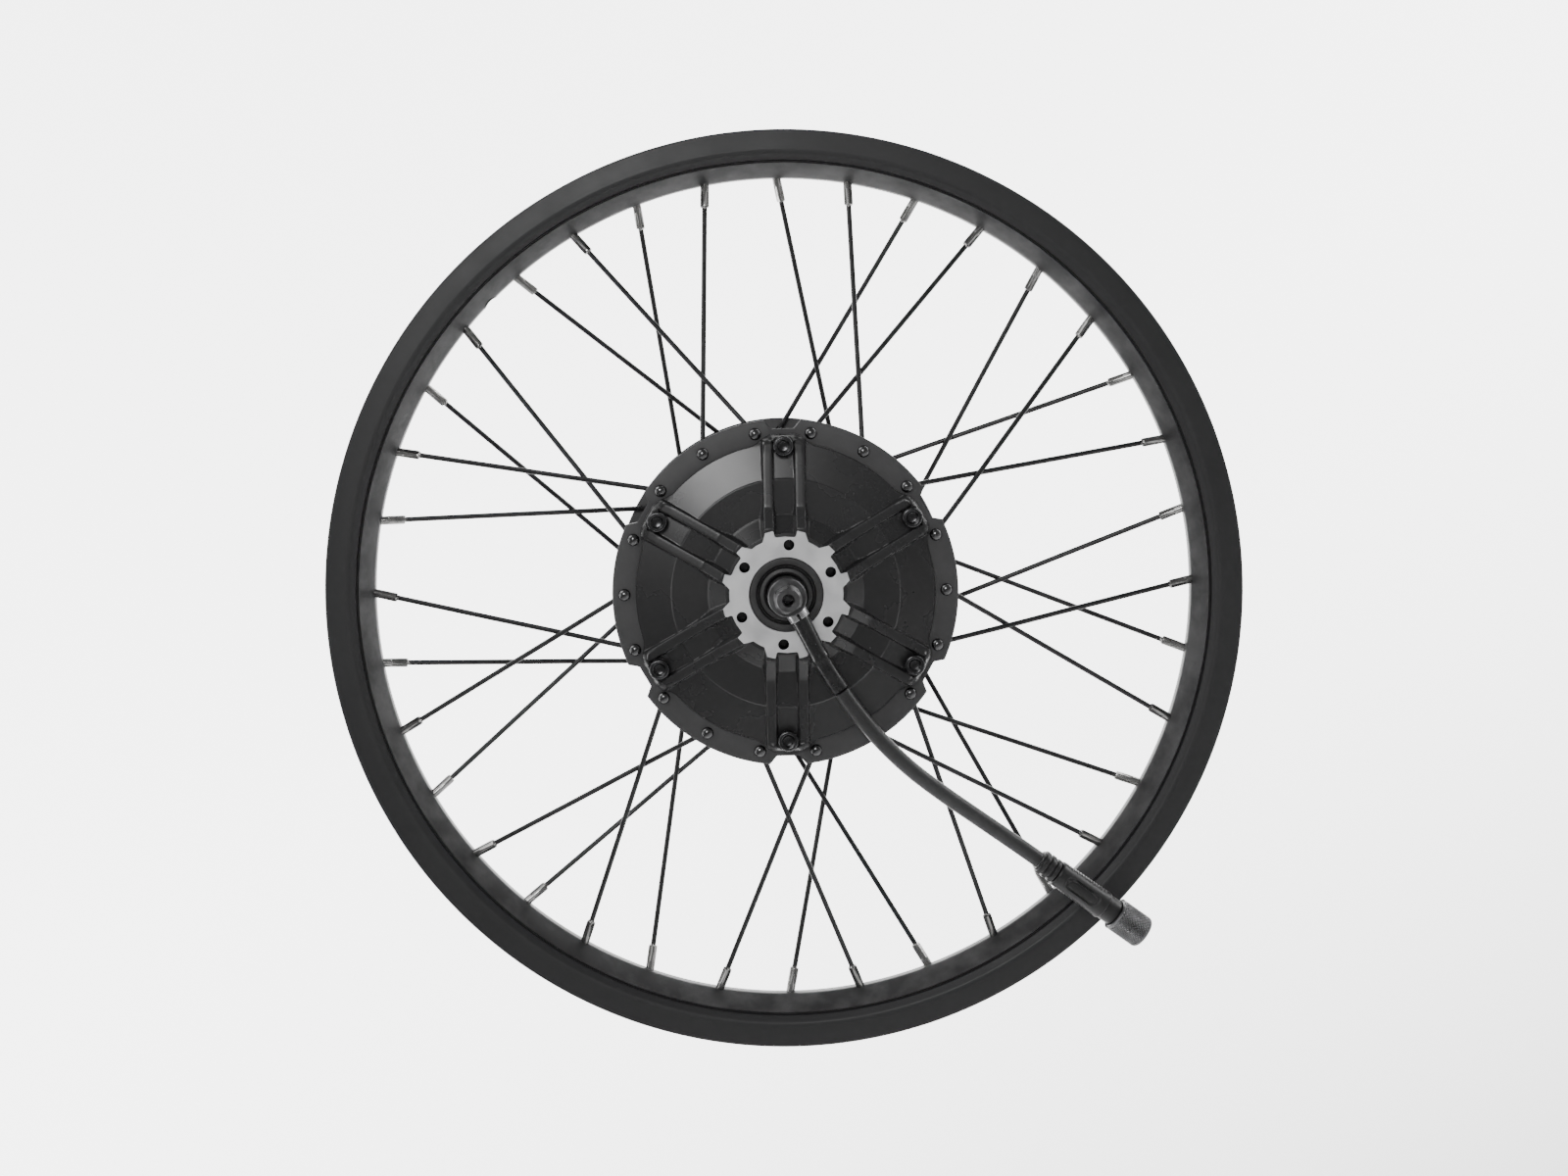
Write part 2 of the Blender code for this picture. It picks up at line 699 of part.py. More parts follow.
def gear_outline(teeth, start_degrees, internal=False):
    """Four points a tooth: straight flanks between the root and the tip circle."""
    pitch_r = MODULE * teeth / 2
    quarter = math.pi * MODULE / 2
    tip_out, root_in = MODULE * ADDENDUM, MODULE * DEDENDUM
    outer_r, inner_r = pitch_r + tip_out, pitch_r - root_in
    narrow, wide = quarter - BACKLASH - FLANK_TAPER, quarter - BACKLASH + FLANK_TAPER
    if internal:
        outer_r, inner_r = pitch_r + root_in, pitch_r - tip_out
        narrow, wide = quarter + BACKLASH - FLANK_TAPER, quarter + BACKLASH + FLANK_TAPER
    points = []
    for k in range(teeth):
        middle = start_degrees + 360 / teeth * k
        root_half = math.degrees(wide / 2 / inner_r)
        tip_half = math.degrees(narrow / 2 / outer_r)
        points += [
            polar(inner_r, middle - root_half),
            polar(outer_r, middle - tip_half),
            polar(outer_r, middle + tip_half),
            polar(inner_r, middle + root_half),
        ]
    return points


def circle(radius, sides):
    return [polar(radius, 360 / sides * k) for k in range(sides)]


def build_gears():
    sun = gear_outline(SUN_TEETH, 0.0)
    extruded("sun_gear", [sun, circle(6.7, 20)], GEAR_LOW_W + 0.5, -6.3, BRIGHT_STEEL)
    for k in range(PLANETS):
        orbit = 360 / PLANETS * k
        # A planet's gap faces the sun's tooth, and its tooth faces the ring's gap.
        sun_phase = orbit * SUN_TEETH / 360 % 1
        start = orbit + 180 + (0.5 + sun_phase) * 360 / PLANET_TEETH
        planet = gear_outline(PLANET_TEETH, start)
        gear = extruded(f"planet_gear_{k + 1}", [planet, circle(PLANET_BORE_R, 16)],
                        GEAR_LOW_W + GAP, GEAR_HIGH_W, NYLON)
        centre = polar(PLANET_ORBIT_R, orbit)
        gear.location = centre * MM
        cylinder_group(f"planet_pin_{k + 1}", [centre], PIN_R, CARRIER_LOW_W + GAP,
                       GEAR_HIGH_W + 0.5, 12, GREY_STEEL)
    gaps = gear_outline(RING_TEETH, 180 / RING_TEETH, internal=True)
    extruded("ring_gear", [circle(50.0, 48), gaps], GEAR_LOW_W, GEAR_HIGH_W, GREY_STEEL)


def build_carrier():
    """The plate that holds the planet pins, and the one-way clutch in its hub."""
    pin_holes = []
    for centre in ring_of(PLANET_ORBIT_R, PLANETS):
        pin_holes.append([centre + corner for corner in circle(PLANET_BORE_R, 16)])
    bore = circle(ONE_WAY_CLUTCH[0] + 0.4, 24)
    extruded("planet_carrier", [circle(CARRIER_R, 36), bore] + pin_holes, CARRIER_LOW_W,
             GEAR_LOW_W - 2 * GAP, GREY_STEEL)
    fitted_ring("one_way_clutch", AXLE_THREAD_R + GAP, ONE_WAY_CLUTCH, BRIGHT_STEEL)


# ---------------------------------------------------------------- motor

def stator_outline():
    """Tooth necks that widen into shoes along the air gap."""
    points = []
    neck_half, shoe_half = 2.9, 7.0
    for k in range(STATOR_SLOTS):
        turn = Matrix.Rotation(math.radians(360 / STATOR_SLOTS * k), 3, "Z")
        shoe_low = STATOR_R - 2.2
        half = [
            (STATOR_YOKE_R, neck_half),
            (shoe_low, neck_half),
            (STATOR_R - 1.2, shoe_half),
            (STATOR_R - 0.3, shoe_half),
        ]
        tooth = [(r, -y) for r, y in half] + [(r, y) for r, y in reversed(half)]
        points += [turn @ Vector((r, y, 0)) for r, y in tooth]
    return points


def build_stator():
    low, high = STATOR_LOW_W, STATOR_HIGH_W
    extruded("stator_core", [stator_outline(), circle(STATOR_BORE_R, 24)], low, high, GREY_STEEL)
    fitted_ring("stator_hub", AXLE_SHOULDER_R + GAP,
                (STATOR_BORE_R - 2 * GAP, low + 3, high - 3), BARE_ALUMINIUM)
    build_winding()
    extruded("hall_sensor_board", [circle(45.0, 24), circle(30.0, 24)], high + 4.4, high + 6.0,
             CIRCUIT_BOARD)


def build_winding():
    """A coil round every tooth, joined by the bus wire that links the phases."""
    low, high = STATOR_LOW_W, STATOR_HIGH_W
    bus = [(37.5, high + 3.9), (40.5, high + 3.9), (40.5, high + 2.2), (37.5, high + 2.2)]
    winding = turned("stator_winding", bus, COPPER)
    coils, windows = bmesh.new(), bmesh.new()
    for k in range(STATOR_SLOTS):
        turn = Matrix.Rotation(math.radians(360 / STATOR_SLOTS * k), 4, "Z")
        place = turn @ Matrix.Translation(mm_point(COIL_CENTRE_R, 0, (low + high) / 2))
        for bm, across, extra, along in ((coils, COIL_WIDTH, 6, 9.6), (windows, COIL_WINDOW, 0.6, 12)):
            size = Matrix.Diagonal((along * MM, across * MM, (high - low + extra) * MM, 1))
            bmesh.ops.create_cube(bm, size=1, matrix=place @ size)
    join(winding, add_object("coil_blocks", mesh_from_bmesh("coil_blocks", coils)))
    cut(winding, add_object("coil_windows", mesh_from_bmesh("coil_windows", windows)))


def build_rotor():
    profile = [(ROTOR_BORE_R, 22.0), (ROTOR_R, 22.0), (ROTOR_R, -6.0), (14.3, -6.0),
               (14.3, -3.2), (ROTOR_BORE_R, -3.2)]
    turned("rotor_can", profile, GREY_STEEL)
    inner = []
    for k in range(MAGNETS):
        middle = 360 / MAGNETS * k
        edges = [(MAGNET_INNER_R, -7.4), (MAGNET_INNER_R, 7.4),
                 (MAGNET_OUTER_R - 1.2, 7.8), (MAGNET_OUTER_R - 1.2, 10.2)]
        inner += [polar(r, middle + off) for r, off in edges]
    outer = circle(MAGNET_OUTER_R, 30)
    extruded("magnet_ring", [outer, inner], STATOR_LOW_W, 20.0, MAGNET)
    fitted_ring("rotor_bearing", AXLE_THREAD_R + GAP, ROTOR_BEARING, BRIGHT_STEEL)


# ---------------------------------------------------------------- cable and connector

def build_cable():
    """The boot covers the cable's first stretch, and the cable goes on from there."""
    route = smooth_route(CABLE_ROUTE, 1.0)
    split = round(BOOT_LENGTH)
    boot_path = route[:split:6] + [route[split]]
    share = [k / (len(boot_path) - 1) for k in range(len(boot_path))]
    widths = [BOOT_ROOT_D if s < 0.55 else BOOT_TIP_D for s in share]
    add_object("cable_boot", tube_curve("cable_boot", boot_path, widths), BLACK_RUBBER)
    rest = smooth_route(route[split + 1::6] + [route[-1]], CABLE_STEP)
    cable = tube_curve("motor_cable", rest, [CABLE_D] * len(rest))
    add_object("motor_cable", cable, BLACK_RUBBER)


def connector_frame():
    """An empty at the cable's end, its z axis along the connector."""
    end, before = Vector(CABLE_ROUTE[-1]), Vector(CABLE_ROUTE[-2])
    heading = end - before
    heading.z = 0
    heading = heading.normalized() + Vector((0, 0, CONNECTOR_TILT_W))
    frame = bpy.data.objects.new("connector_frame", None)
    parts.objects.link(frame)
    frame.parent = wheel_axes
    start = end + heading.normalized() * GAP
    frame.location = start * MM
    frame.rotation_mode = "QUATERNION"
    frame.rotation_quaternion = heading.to_track_quat("Z", "Y")
    return frame


def build_connector():
    frame = connector_frame()
    pitch = STRAIN_RELIEF_LENGTH / 3
    groove_r = STRAIN_RELIEF_R - 1.0
    ribs = []
    for k in range(3):
        top = STRAIN_RELIEF_LENGTH - k * pitch
        ribs += [(STRAIN_RELIEF_R, top), (STRAIN_RELIEF_R, top - 0.65 * pitch)]
        ribs += [(groove_r, top - 0.67 * pitch), (groove_r, top - 0.98 * pitch)]
    outline = [(0, STRAIN_RELIEF_LENGTH)] + ribs + [(0, 0.02 * pitch)]
    turned("connector_strain_relief", outline, BLACK_RUBBER, 16, closed=False, parent=frame)

    low = STRAIN_RELIEF_LENGTH + GAP
    high = low + PLUG_LENGTH
    tip = high + COLLAR_LENGTH
    body = [
        (0, tip + NUT_LENGTH - 4),
        (5.6, tip + NUT_LENGTH - 4),
        (5.6, tip),
        (COLLAR_R, tip),
        (COLLAR_R, high),
        (PLUG_R, high - 0.6),
        (PLUG_ROOT_R, low + 1.0),
        (PLUG_ROOT_R - 1.0, low),
        (0, low),
    ]
    turned("connector_body", body, BLACK_RUBBER, 20, closed=False, parent=frame)
    nut = [
        (NUT_BORE_R, tip + NUT_LENGTH),
        (NUT_R - 0.7, tip + NUT_LENGTH),
        (NUT_R, tip + NUT_LENGTH - 1.0),
        (NUT_R, tip + GAP),
        (NUT_BORE_R, tip + GAP),
    ]
    turned("connector_nut", nut, GUN_METAL, 20, parent=frame)


# ---------------------------------------------------------------- build

clear_scene()
parts = new_collection(NAME)
cutters = new_collection(NAME + "_cutters")
wheel_axes = bpy.data.objects.new("wheel_axes", None)
parts.objects.link(wheel_axes)
wheel_axes.rotation_euler.x = math.pi / 2

build_rim()
build_spoke_pairs("disc_side", 1, -NEAR_SPOKE_START)
build_spoke_pairs("drive_side", -1, 0.0)
build_hub_shell()
build_cover()
build_cover_bolts()
build_axle()
build_axle_fittings()
build_gears()
build_carrier()
build_stator()
build_rotor()
build_cable()
build_connector()

for part in parts.objects:
    if part.type == "MESH":
        smooth(part)
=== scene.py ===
"""Looks of the hub motor wheel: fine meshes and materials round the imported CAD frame.

Profiles and routes are in millimetres in the wheel's own axes: x right and y up as seen from
the disc side, w along the axle towards the disc side. to_world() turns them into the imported
frame, where the axle lies along Y and the disc side faces -Y.
"""
import json
import math

import bmesh
import bpy
import numpy as np
from mathutils import Matrix, Vector


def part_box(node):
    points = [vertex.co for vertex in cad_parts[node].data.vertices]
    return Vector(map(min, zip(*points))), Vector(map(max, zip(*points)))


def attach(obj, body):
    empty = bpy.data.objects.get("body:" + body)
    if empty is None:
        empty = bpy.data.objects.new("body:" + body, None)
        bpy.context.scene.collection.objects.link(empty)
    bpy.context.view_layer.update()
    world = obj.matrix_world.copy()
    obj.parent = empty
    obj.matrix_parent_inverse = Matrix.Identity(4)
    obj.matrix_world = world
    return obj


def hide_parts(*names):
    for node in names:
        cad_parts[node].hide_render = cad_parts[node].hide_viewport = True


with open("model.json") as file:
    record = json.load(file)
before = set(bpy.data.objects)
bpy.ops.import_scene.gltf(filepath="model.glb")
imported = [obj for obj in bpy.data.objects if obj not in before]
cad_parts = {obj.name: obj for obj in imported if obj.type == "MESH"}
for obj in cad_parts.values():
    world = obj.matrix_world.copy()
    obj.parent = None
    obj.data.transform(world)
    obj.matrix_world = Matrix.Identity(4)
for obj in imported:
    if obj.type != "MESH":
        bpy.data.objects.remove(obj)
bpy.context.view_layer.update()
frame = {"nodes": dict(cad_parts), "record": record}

MM = 0.001
TAU = 2 * math.pi


# ---- sizes read from the frame

def reach(node):
    """A node's box in wheel axes, in millimetres: lowest and highest (x, y, w)."""
    low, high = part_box(node)
    return ((low[0] / MM, low[2] / MM, -high[1] / MM), (high[0] / MM, high[2] / MM, -low[1] / MM))


HEAD_HEIGHT = 2.3
RIM_R = reach("rim")[1][0]
RIM_HALF = reach("rim")[1][2]
FLANGE_R = reach("hub_shell")[1][0]
NEAR_W = reach("hub_shell")[1][2]
BOSS_W = reach("hub_shell")[0][2]
FAR_W = reach("drive_side_spoke_pair_1")[0][2] + HEAD_HEIGHT
FACE_W = reach("disc_side_cover")[1][2]
AXLE_TIP = reach("axle")[1][2]
AXLE_R = reach("axle")[1][0]
SEAL_R = reach("axle_seal")[1][0]
SEAL_LOW, SEAL_HIGH = reach("axle_seal")[0][2], reach("axle_seal")[1][2]
BOLT_R = sum(corner[0] for corner in reach("cover_bolt_1")) / 2
BOLT_HEAD_R = reach("cover_bolt_1")[1][1]
BOLT_TOP = reach("cover_bolt_1")[1][2]
BOLT_SEAT = BOLT_TOP - 4.1
NUT_LOW, NUT_HIGH = reach("drive_side_locknut")[0][2], reach("drive_side_locknut")[1][2]
DROPOUT_W = -NUT_LOW
SPACER_R = reach("drive_side_spacer")[1][0]
SPACER_LOW, SPACER_HIGH = reach("drive_side_spacer")[0][2], reach("drive_side_spacer")[1][2]

SPOKES = 36
PITCH = 360 / (SPOKES / 2)
SPOKE_R = 1.15
CROSSING_OFFSET = 0.95
HEAD_CIRCLE = 72.0
HEAD_R = 2.75
BED_R = 189.5
BED_EDGE_R = RIM_R - 14.6
VALVE_ANGLE = 105
VALVE_HOLE_R = 4.2
FLANGE_THICK = 3.5
DRUM_R = 69.0
COVER_R = 66.6
COVER_BORE_R = 24.5
COVER_BACK_W = 40.6
LOBE = 4.0
DISC_R = 25.2
TOOTH_R = 28.7
DISC_CIRCLE = 22.0
DISC_HOLE_R = 2.1
DISC_HOLE_START = -4.0
RIB_OFFSET = 7.15
RIB_HALF = 2.05
FLANK_SLOPE = 3.2
THREAD_R = 6.0
FLAT_HALF = 5.0
FREEWHEEL_R = 17.25

CABLE_ROUTE = [
    (0.0, -9.0, 60.5), (-0.6, -18.7, 61.0), (-1.2, -30.0, 61.0),
    (-1.0, -43.8, 60.5), (0.2, -59.7, 59.5), (2.9, -76.6, 57.5),
    (7.6, -94.2, 54.0), (14.2, -111.6, 49.5), (22.2, -130.2, 44.8),
    (30.2, -148.4, 41.2), (35.5, -160.6, 39.7),
]
CABLE_R = 3.6
BOOT_LENGTH = 38.0

# Connector: where its parts begin and end along its own axis, from the cable's end
CONNECTOR_GAP = 0.3
PLUG_LOW = 9.5
PLUG_HIGH = 35.9
PLUG_TIP = 41.7
CONNECTOR_END = 57.75
RELIEF_R = 5.5
PLUG_ROOT_R = 5.93
COLLAR_R = 5.88
SPIGOT_R = 5.55
PIN_CIRCLE = 3.2
PIN_R = 0.55
KNURL_R = 7.46


# ---- mesh helpers

def to_world(points):
    """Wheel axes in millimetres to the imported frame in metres."""
    points = np.asarray(points, float)
    return np.stack([points[..., 0], -points[..., 2], points[..., 1]], axis=-1) * MM


def polar(radius, degrees, w=0.0):
    angle = math.radians(degrees)
    return Vector((radius * math.cos(angle), radius * math.sin(angle), w))


def add_object(name, data):
    obj = bpy.data.objects.new(name, data)
    bpy.context.scene.collection.objects.link(obj)
    return obj


def mesh_object(name, points, faces, sharp=35.0):
    mesh = bpy.data.meshes.new(name)
    mesh.from_pydata(to_world(points).tolist(), [], faces)
    clean(mesh)
    obj = add_object(name, mesh)
    shade(obj, sharp)
    return obj


def clean(mesh):
    """Weld points that coincide, and let the faces point out of the solid."""
    bm = bmesh.new()
    bm.from_mesh(mesh)
    bmesh.ops.remove_doubles(bm, verts=bm.verts, dist=0.000002)
    bmesh.ops.recalc_face_normals(bm, faces=bm.faces)
    if bm.calc_volume(signed=True) < 0:
        bmesh.ops.reverse_faces(bm, faces=bm.faces)
    bm.to_mesh(mesh)
    bm.free()


def shade(obj, sharp=35.0):
    obj.data.shade_smooth()
    obj.data.set_sharp_from_angle(angle=math.radians(sharp))


def grid_faces(rows, columns, close_rows=False):
    """Faces between rings of points. close_rows joins the last ring to the first."""
    faces = []
    for i in range(rows if close_rows else rows - 1):
        below, above = i * columns, (i + 1) % rows * columns
        for j in range(columns):
            k = (j + 1) % columns
            faces.append([below + j, below + k, above + k, above + j])
    return faces


def tube_faces(rows, columns):
    """Faces between rings of points, and a cap at each end."""
    last = (rows - 1) * columns
    caps = [list(range(columns)), list(range(last, last + columns))]
    return grid_faces(rows, columns) + caps


def ring_points(r, angles, w):
    """Points (x, y, w) at radius r and height w, each one value or one per angle."""
    return np.stack([r * np.cos(angles), r * np.sin(angles), w + 0 * angles], axis=-1)


def fillet(corners, radius, steps=4, closed=True):
    """Round every corner of a profile. A corner may carry its own radius as a third value."""
    count = len(corners)
    result = []
    for i, corner in enumerate(corners):
        point = Vector(corner[:2])
        if not closed and i in (0, count - 1):
            result.append(tuple(point))
            continue
        before = Vector(corners[i - 1][:2]) - point
        after = Vector(corners[(i + 1) % count][:2]) - point
        wanted = corner[2] if len(corner) > 2 else radius
        turn = before.angle(after) if before.length and after.length else math.pi
        if wanted <= 0 or turn > math.radians(176):
            result.append(tuple(point))
            continue
        back = min(wanted / math.tan(turn / 2), before.length * 0.48, after.length * 0.48)
        start, end = point + before.normalized() * back, point + after.normalized() * back
        for k in range(steps + 1):
            t = k / steps
            result.append(tuple(start * (1 - t) ** 2 + point * 2 * t * (1 - t) + end * t ** 2))
    return result


def lathe(name, profile, segments=96, closed=True, place=None, sharp=35.0):
    """Turn an (r, w) profile round w. place is a matrix in wheel axes and millimetres."""
    angles = np.linspace(0, TAU, segments, endpoint=False)
    section = np.array(profile, float)
    r, w = section[:, 0][:, None], section[:, 1][:, None]
    points = moved(ring_points(r, angles, w).reshape(-1, 3), place)
    faces = grid_faces(len(profile), segments, close_rows=closed)
    return mesh_object(name, points, faces, sharp)


def moved(points, matrix):
    """The points carried by the matrix, or as they are without one."""
    if matrix is None:
        return points
    rotation = np.array(matrix.to_3x3())
    return points @ rotation.T + np.array(matrix.translation)


def rod(name, heights, radius_at, columns, place=None, sharp=30.0):
    """A capped round bar along w whose radius is radius_at(angle, w)."""
    angles = np.linspace(0, TAU, columns, endpoint=False)
    points = np.concatenate([ring_points(radius_at(angles, w), angles, w) for w in heights])
    return mesh_object(name, moved(points, place), tube_faces(len(heights), columns), sharp)


def cylinder(name, radius, low, high, columns, place=None):
    return rod(name, [low, high], lambda angles, w: radius + 0 * angles, columns, place)


def sweep(name, path, radii, columns=16, section=None, sharp=40.0):
    """A tube along a path. section(angles, k) scales ring k's radius round its angle."""
    path = [Vector(p) for p in path]
    angles = np.linspace(0, TAU, columns, endpoint=False)
    tangents = [(b - a).normalized() for a, b in zip(path[:-1], path[1:])]
    tangents = [tangents[0]] + [(a + b).normalized() for a, b in zip(tangents, tangents[1:])]
    tangents.append((path[-1] - path[-2]).normalized())
    side = tangents[0].orthogonal().normalized()
    rings = []
    for k, (point, tangent, radius) in enumerate(zip(path, tangents, radii)):
        side = (side - tangent * side.dot(tangent)).normalized()
        other = tangent.cross(side)
        r = radius * (section(angles, k) if section else np.ones(columns))
        rings.append(np.array(point) + np.outer(r * np.cos(angles), side)
                     + np.outer(r * np.sin(angles), other))
    return mesh_object(name, np.concatenate(rings), tube_faces(len(path), columns), sharp)


def plate(name, loops, low, high, bevel=0.15, place=None):
    """A flat plate along w with bevelled edges, from an outline and its holes."""
    curve = bpy.data.curves.new(name, "CURVE")
    curve.dimensions = "2D"
    curve.fill_mode = "BOTH"
    curve.extrude = ((high - low) / 2 - bevel) * MM
    curve.bevel_depth = bevel * MM
    curve.bevel_resolution = 1
    curve.offset = -bevel * MM
    for loop in loops:
        spline = curve.splines.new("POLY")
        spline.points.add(len(loop) - 1)
        spline.use_cyclic_u = True
        for point, corner in zip(spline.points, loop):
            point.co = (corner[0] * MM, corner[1] * MM, 0, 1)
    guide = add_object(name + "_guide", curve)
    bpy.context.view_layer.update()
    evaluated = guide.evaluated_get(bpy.context.evaluated_depsgraph_get())
    mesh = bpy.data.meshes.new_from_object(evaluated)
    bpy.data.objects.remove(guide)
    bpy.data.curves.remove(curve)
    mesh.materials.clear()
    lift = Matrix.Translation((0, 0, (low + high) / 2 * MM))
    upright = Matrix(((1, 0, 0, 0), (0, 0, -1, 0), (0, 1, 0, 0), (0, 0, 0, 1)))
    placed = place.copy() if place is not None else Matrix.Identity(4)
    placed.translation = placed.translation * MM
    mesh.transform(upright @ placed @ lift)
    clean(mesh)
    mesh.name = name
    obj = add_object(name, mesh)
    shade(obj, 12)
    return obj


def cut(target, *tools):
    """Apply Boolean differences and remove the tools."""
    for tool in tools:
        modifier = target.modifiers.new("cut", "BOOLEAN")
        modifier.solver = "EXACT"
        modifier.operation = "DIFFERENCE"
        modifier.object = tool
    bpy.context.view_layer.update()
    evaluated = target.evaluated_get(bpy.context.evaluated_depsgraph_get())
    mesh = bpy.data.meshes.new_from_object(evaluated)
    target.modifiers.clear()
    target.data = mesh
    for tool in tools:
        bpy.data.objects.remove(tool)
    shade(target)


def finish_piece(obj, material, body, node):
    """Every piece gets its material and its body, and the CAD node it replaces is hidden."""
    if not obj.data.materials:
        obj.data.materials.append(material)
    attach(obj, body)
    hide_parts(node)


def turned_copy(obj, name, degrees):
    """A copy that shares its mesh, turned round the axle."""
    copy = add_object(name, obj.data)
    copy.rotation_euler.y = -math.radians(degrees)
    return copy


def circle(radius, sides, centre=(0, 0)):
    return [(centre[0] + radius * math.cos(math.radians(360 / sides * k)),
             centre[1] + radius * math.sin(math.radians(360 / sides * k)))
            for k in range(sides)]


def smooth_route(points, step):
    """Evenly spaced points along a smooth curve through the route's own points."""
    points = [Vector(p) for p in points]
    slopes = [(b - a) / 2 for a, b in zip(points, points[2:])]
    slopes = [points[1] - points[0]] + slopes + [points[-1] - points[-2]]
    fine = []
    for k in range(len(points) - 1):
        a, b, sa, sb = points[k], points[k + 1], slopes[k], slopes[k + 1]
        for n in range(24):
            t = n / 24
            fine.append(a * (2 * t ** 3 - 3 * t ** 2 + 1) + sa * (t ** 3 - 2 * t ** 2 + t)
                        + b * (3 * t ** 2 - 2 * t ** 3) + sb * (t ** 3 - t ** 2))
    fine.append(points[-1])
    lengths = np.concatenate([[0], np.cumsum([(b - a).length for a, b in zip(fine, fine[1:])])])
    wanted = np.linspace(0, lengths[-1], max(2, round(lengths[-1] / step)) + 1)
    table = np.array([tuple(p) for p in fine])
    return [Vector([np.interp(s, lengths, table[:, axis]) for axis in range(3)]) for s in wanted]


# ---- materials

class Shader:
    """A Principled material whose colour, roughness and bump come from procedural nodes."""

    def __init__(self, name, color, roughness, metallic=0.0):
        self.material = bpy.data.materials.new(name)
        self.material.use_nodes = True
        self.tree = self.material.node_tree
        self.principled = self.tree.nodes["Principled BSDF"]
        self.coords = self.node("ShaderNodeTexCoord").outputs["Object"]
        self.color = color
        self.principled.inputs["Base Color"].default_value = (*color, 1)
        self.principled.inputs["Roughness"].default_value = roughness
        self.principled.inputs["Metallic"].default_value = metallic
        self.height = None

    def node(self, kind, **inputs):
        """A new node. Each keyword is an input socket, with _ for a space."""
        node = self.tree.nodes.new(kind)
        for socket, value in inputs.items():
            node.inputs[socket.replace("_", " ")].default_value = value
        return node

    def link(self, source, target):
        self.tree.links.new(source, target)

    def noise(self, scale, detail=4.0):
        noise = self.node("ShaderNodeTexNoise", Scale=scale, Detail=detail, Roughness=0.55)
        self.link(self.coords, noise.inputs["Vector"])
        return noise.outputs["Fac"]

    def spread(self, value, low, high, start=0.3, end=0.7):
        """Map a 0 to 1 value to another range."""
        node = self.node("ShaderNodeMapRange", From_Min=start, From_Max=end, To_Min=low,
                         To_Max=high)
        self.link(value, node.inputs["Value"])
        return node.outputs["Result"]

    def math(self, operation, a, b=0.0):
        node = self.node("ShaderNodeMath")
        node.operation = operation
        for socket, value in zip(node.inputs, (a, b)):
            if isinstance(value, (int, float)):
                socket.default_value = value
            else:
                self.link(value, socket)
        return node.outputs[0]

    def blend_color(self, factor, other):
        """The base colour turns into the other one as factor goes from 0 to 1."""
        node = self.node("ShaderNodeMix")
        node.data_type = "RGBA"
        self.link(factor, node.inputs["Factor"])
        for socket, color in zip(node.inputs[6:8], (self.color, other)):
            socket.default_value = (*color, 1)
        self.link(node.outputs[2], self.principled.inputs["Base Color"])

    def vary_color(self, other, scale, start=0.35, end=0.7):
        self.blend_color(self.spread(self.noise(scale), 0, 1, start, end), other)

    def vary_roughness(self, low, high, scale):
        self.link(self.spread(self.noise(scale), low, high), self.principled.inputs["Roughness"])

    def bump(self, value, depth, strength=1.0):
        """Stack a bump, its depth in metres."""
        node = self.node("ShaderNodeBump", Distance=depth, Strength=strength)
        self.link(value, node.inputs["Height"])
        if self.height is not None:
            self.link(self.height, node.inputs["Normal"])
        self.height = node.outputs["Normal"]
        self.link(self.height, self.principled.inputs["Normal"])

    def axle_radius(self):
        """Distance from the axle, in metres."""
        split = self.node("ShaderNodeSeparateXYZ")
        self.link(self.coords, split.inputs[0])
        square = self.math("ADD", self.math("MULTIPLY", split.outputs["X"], split.outputs["X"]),
                           self.math("MULTIPLY", split.outputs["Z"], split.outputs["Z"]))
        return self.math("SQRT", square)


def cover_paint():
    """Satin black paint over a casting, with a faint orange peel."""
    shader = Shader("cover_paint", (0.018, 0.018, 0.0185), 0.27)
    shader.vary_color((0.022, 0.022, 0.0225), 12)
    shader.vary_roughness(0.25, 0.29, 40)
    shader.bump(shader.noise(220, 1), 0.00001, 0.1)
    return shader.material


def shell_paint():
    """Matt black powder coat with a fine grain."""
    shader = Shader("shell_paint", (0.038, 0.038, 0.039), 0.50)
    shader.vary_color((0.048, 0.048, 0.049), 50)
    shader.vary_roughness(0.44, 0.56, 80)
    shader.bump(shader.noise(1400, 3), 0.00004, 0.4)
    return shader.material


def rim_coating():
    """Black anodised aluminium: smooth walls and a slightly rippled bed, lightened in clouds as a
    painted reflection.
    """
    shader = Shader("rim_coating", (0.026, 0.026, 0.027), 0.42)
    shader.principled.inputs["Specular IOR Level"].default_value = 0.32
    bed = shader.spread(shader.axle_radius(), 1, 0, (BED_EDGE_R - 0.6) * MM, BED_EDGE_R * MM)
    # Painted reflection: the bed's colour is lightened in noise clouds to stand in for the
    # backdrop's mottled reflection.
    painted_reflection_cloud = shader.spread(shader.noise(55, 5), 0, 1, 0.40, 0.62)
    shader.blend_color(shader.math("MULTIPLY", bed, painted_reflection_cloud), (0.060, 0.060, 0.061))
    shader.vary_roughness(0.36, 0.46, 45)
    shader.bump(shader.noise(1100, 3), 0.00002, 0.3)
    shader.bump(shader.math("MULTIPLY", bed, shader.noise(60, 3)), 0.0006, 0.35)
    return shader.material


def spoke_black():
    shader = Shader("spoke_black", (0.020, 0.020, 0.021), 0.30, 0.5)
    shader.vary_color((0.034, 0.034, 0.035), 200)
    shader.vary_roughness(0.24, 0.40, 400)
    shader.bump(shader.noise(2500, 2), 0.00002, 0.3)
    return shader.material


def nickel():
    shader = Shader("nickel", (0.34, 0.335, 0.33), 0.20, 1.0)
    shader.vary_color((0.24, 0.24, 0.235), 250)
    shader.vary_roughness(0.14, 0.26, 500)
    shader.bump(shader.noise(1800, 2), 0.00001, 0.2)
    return shader.material


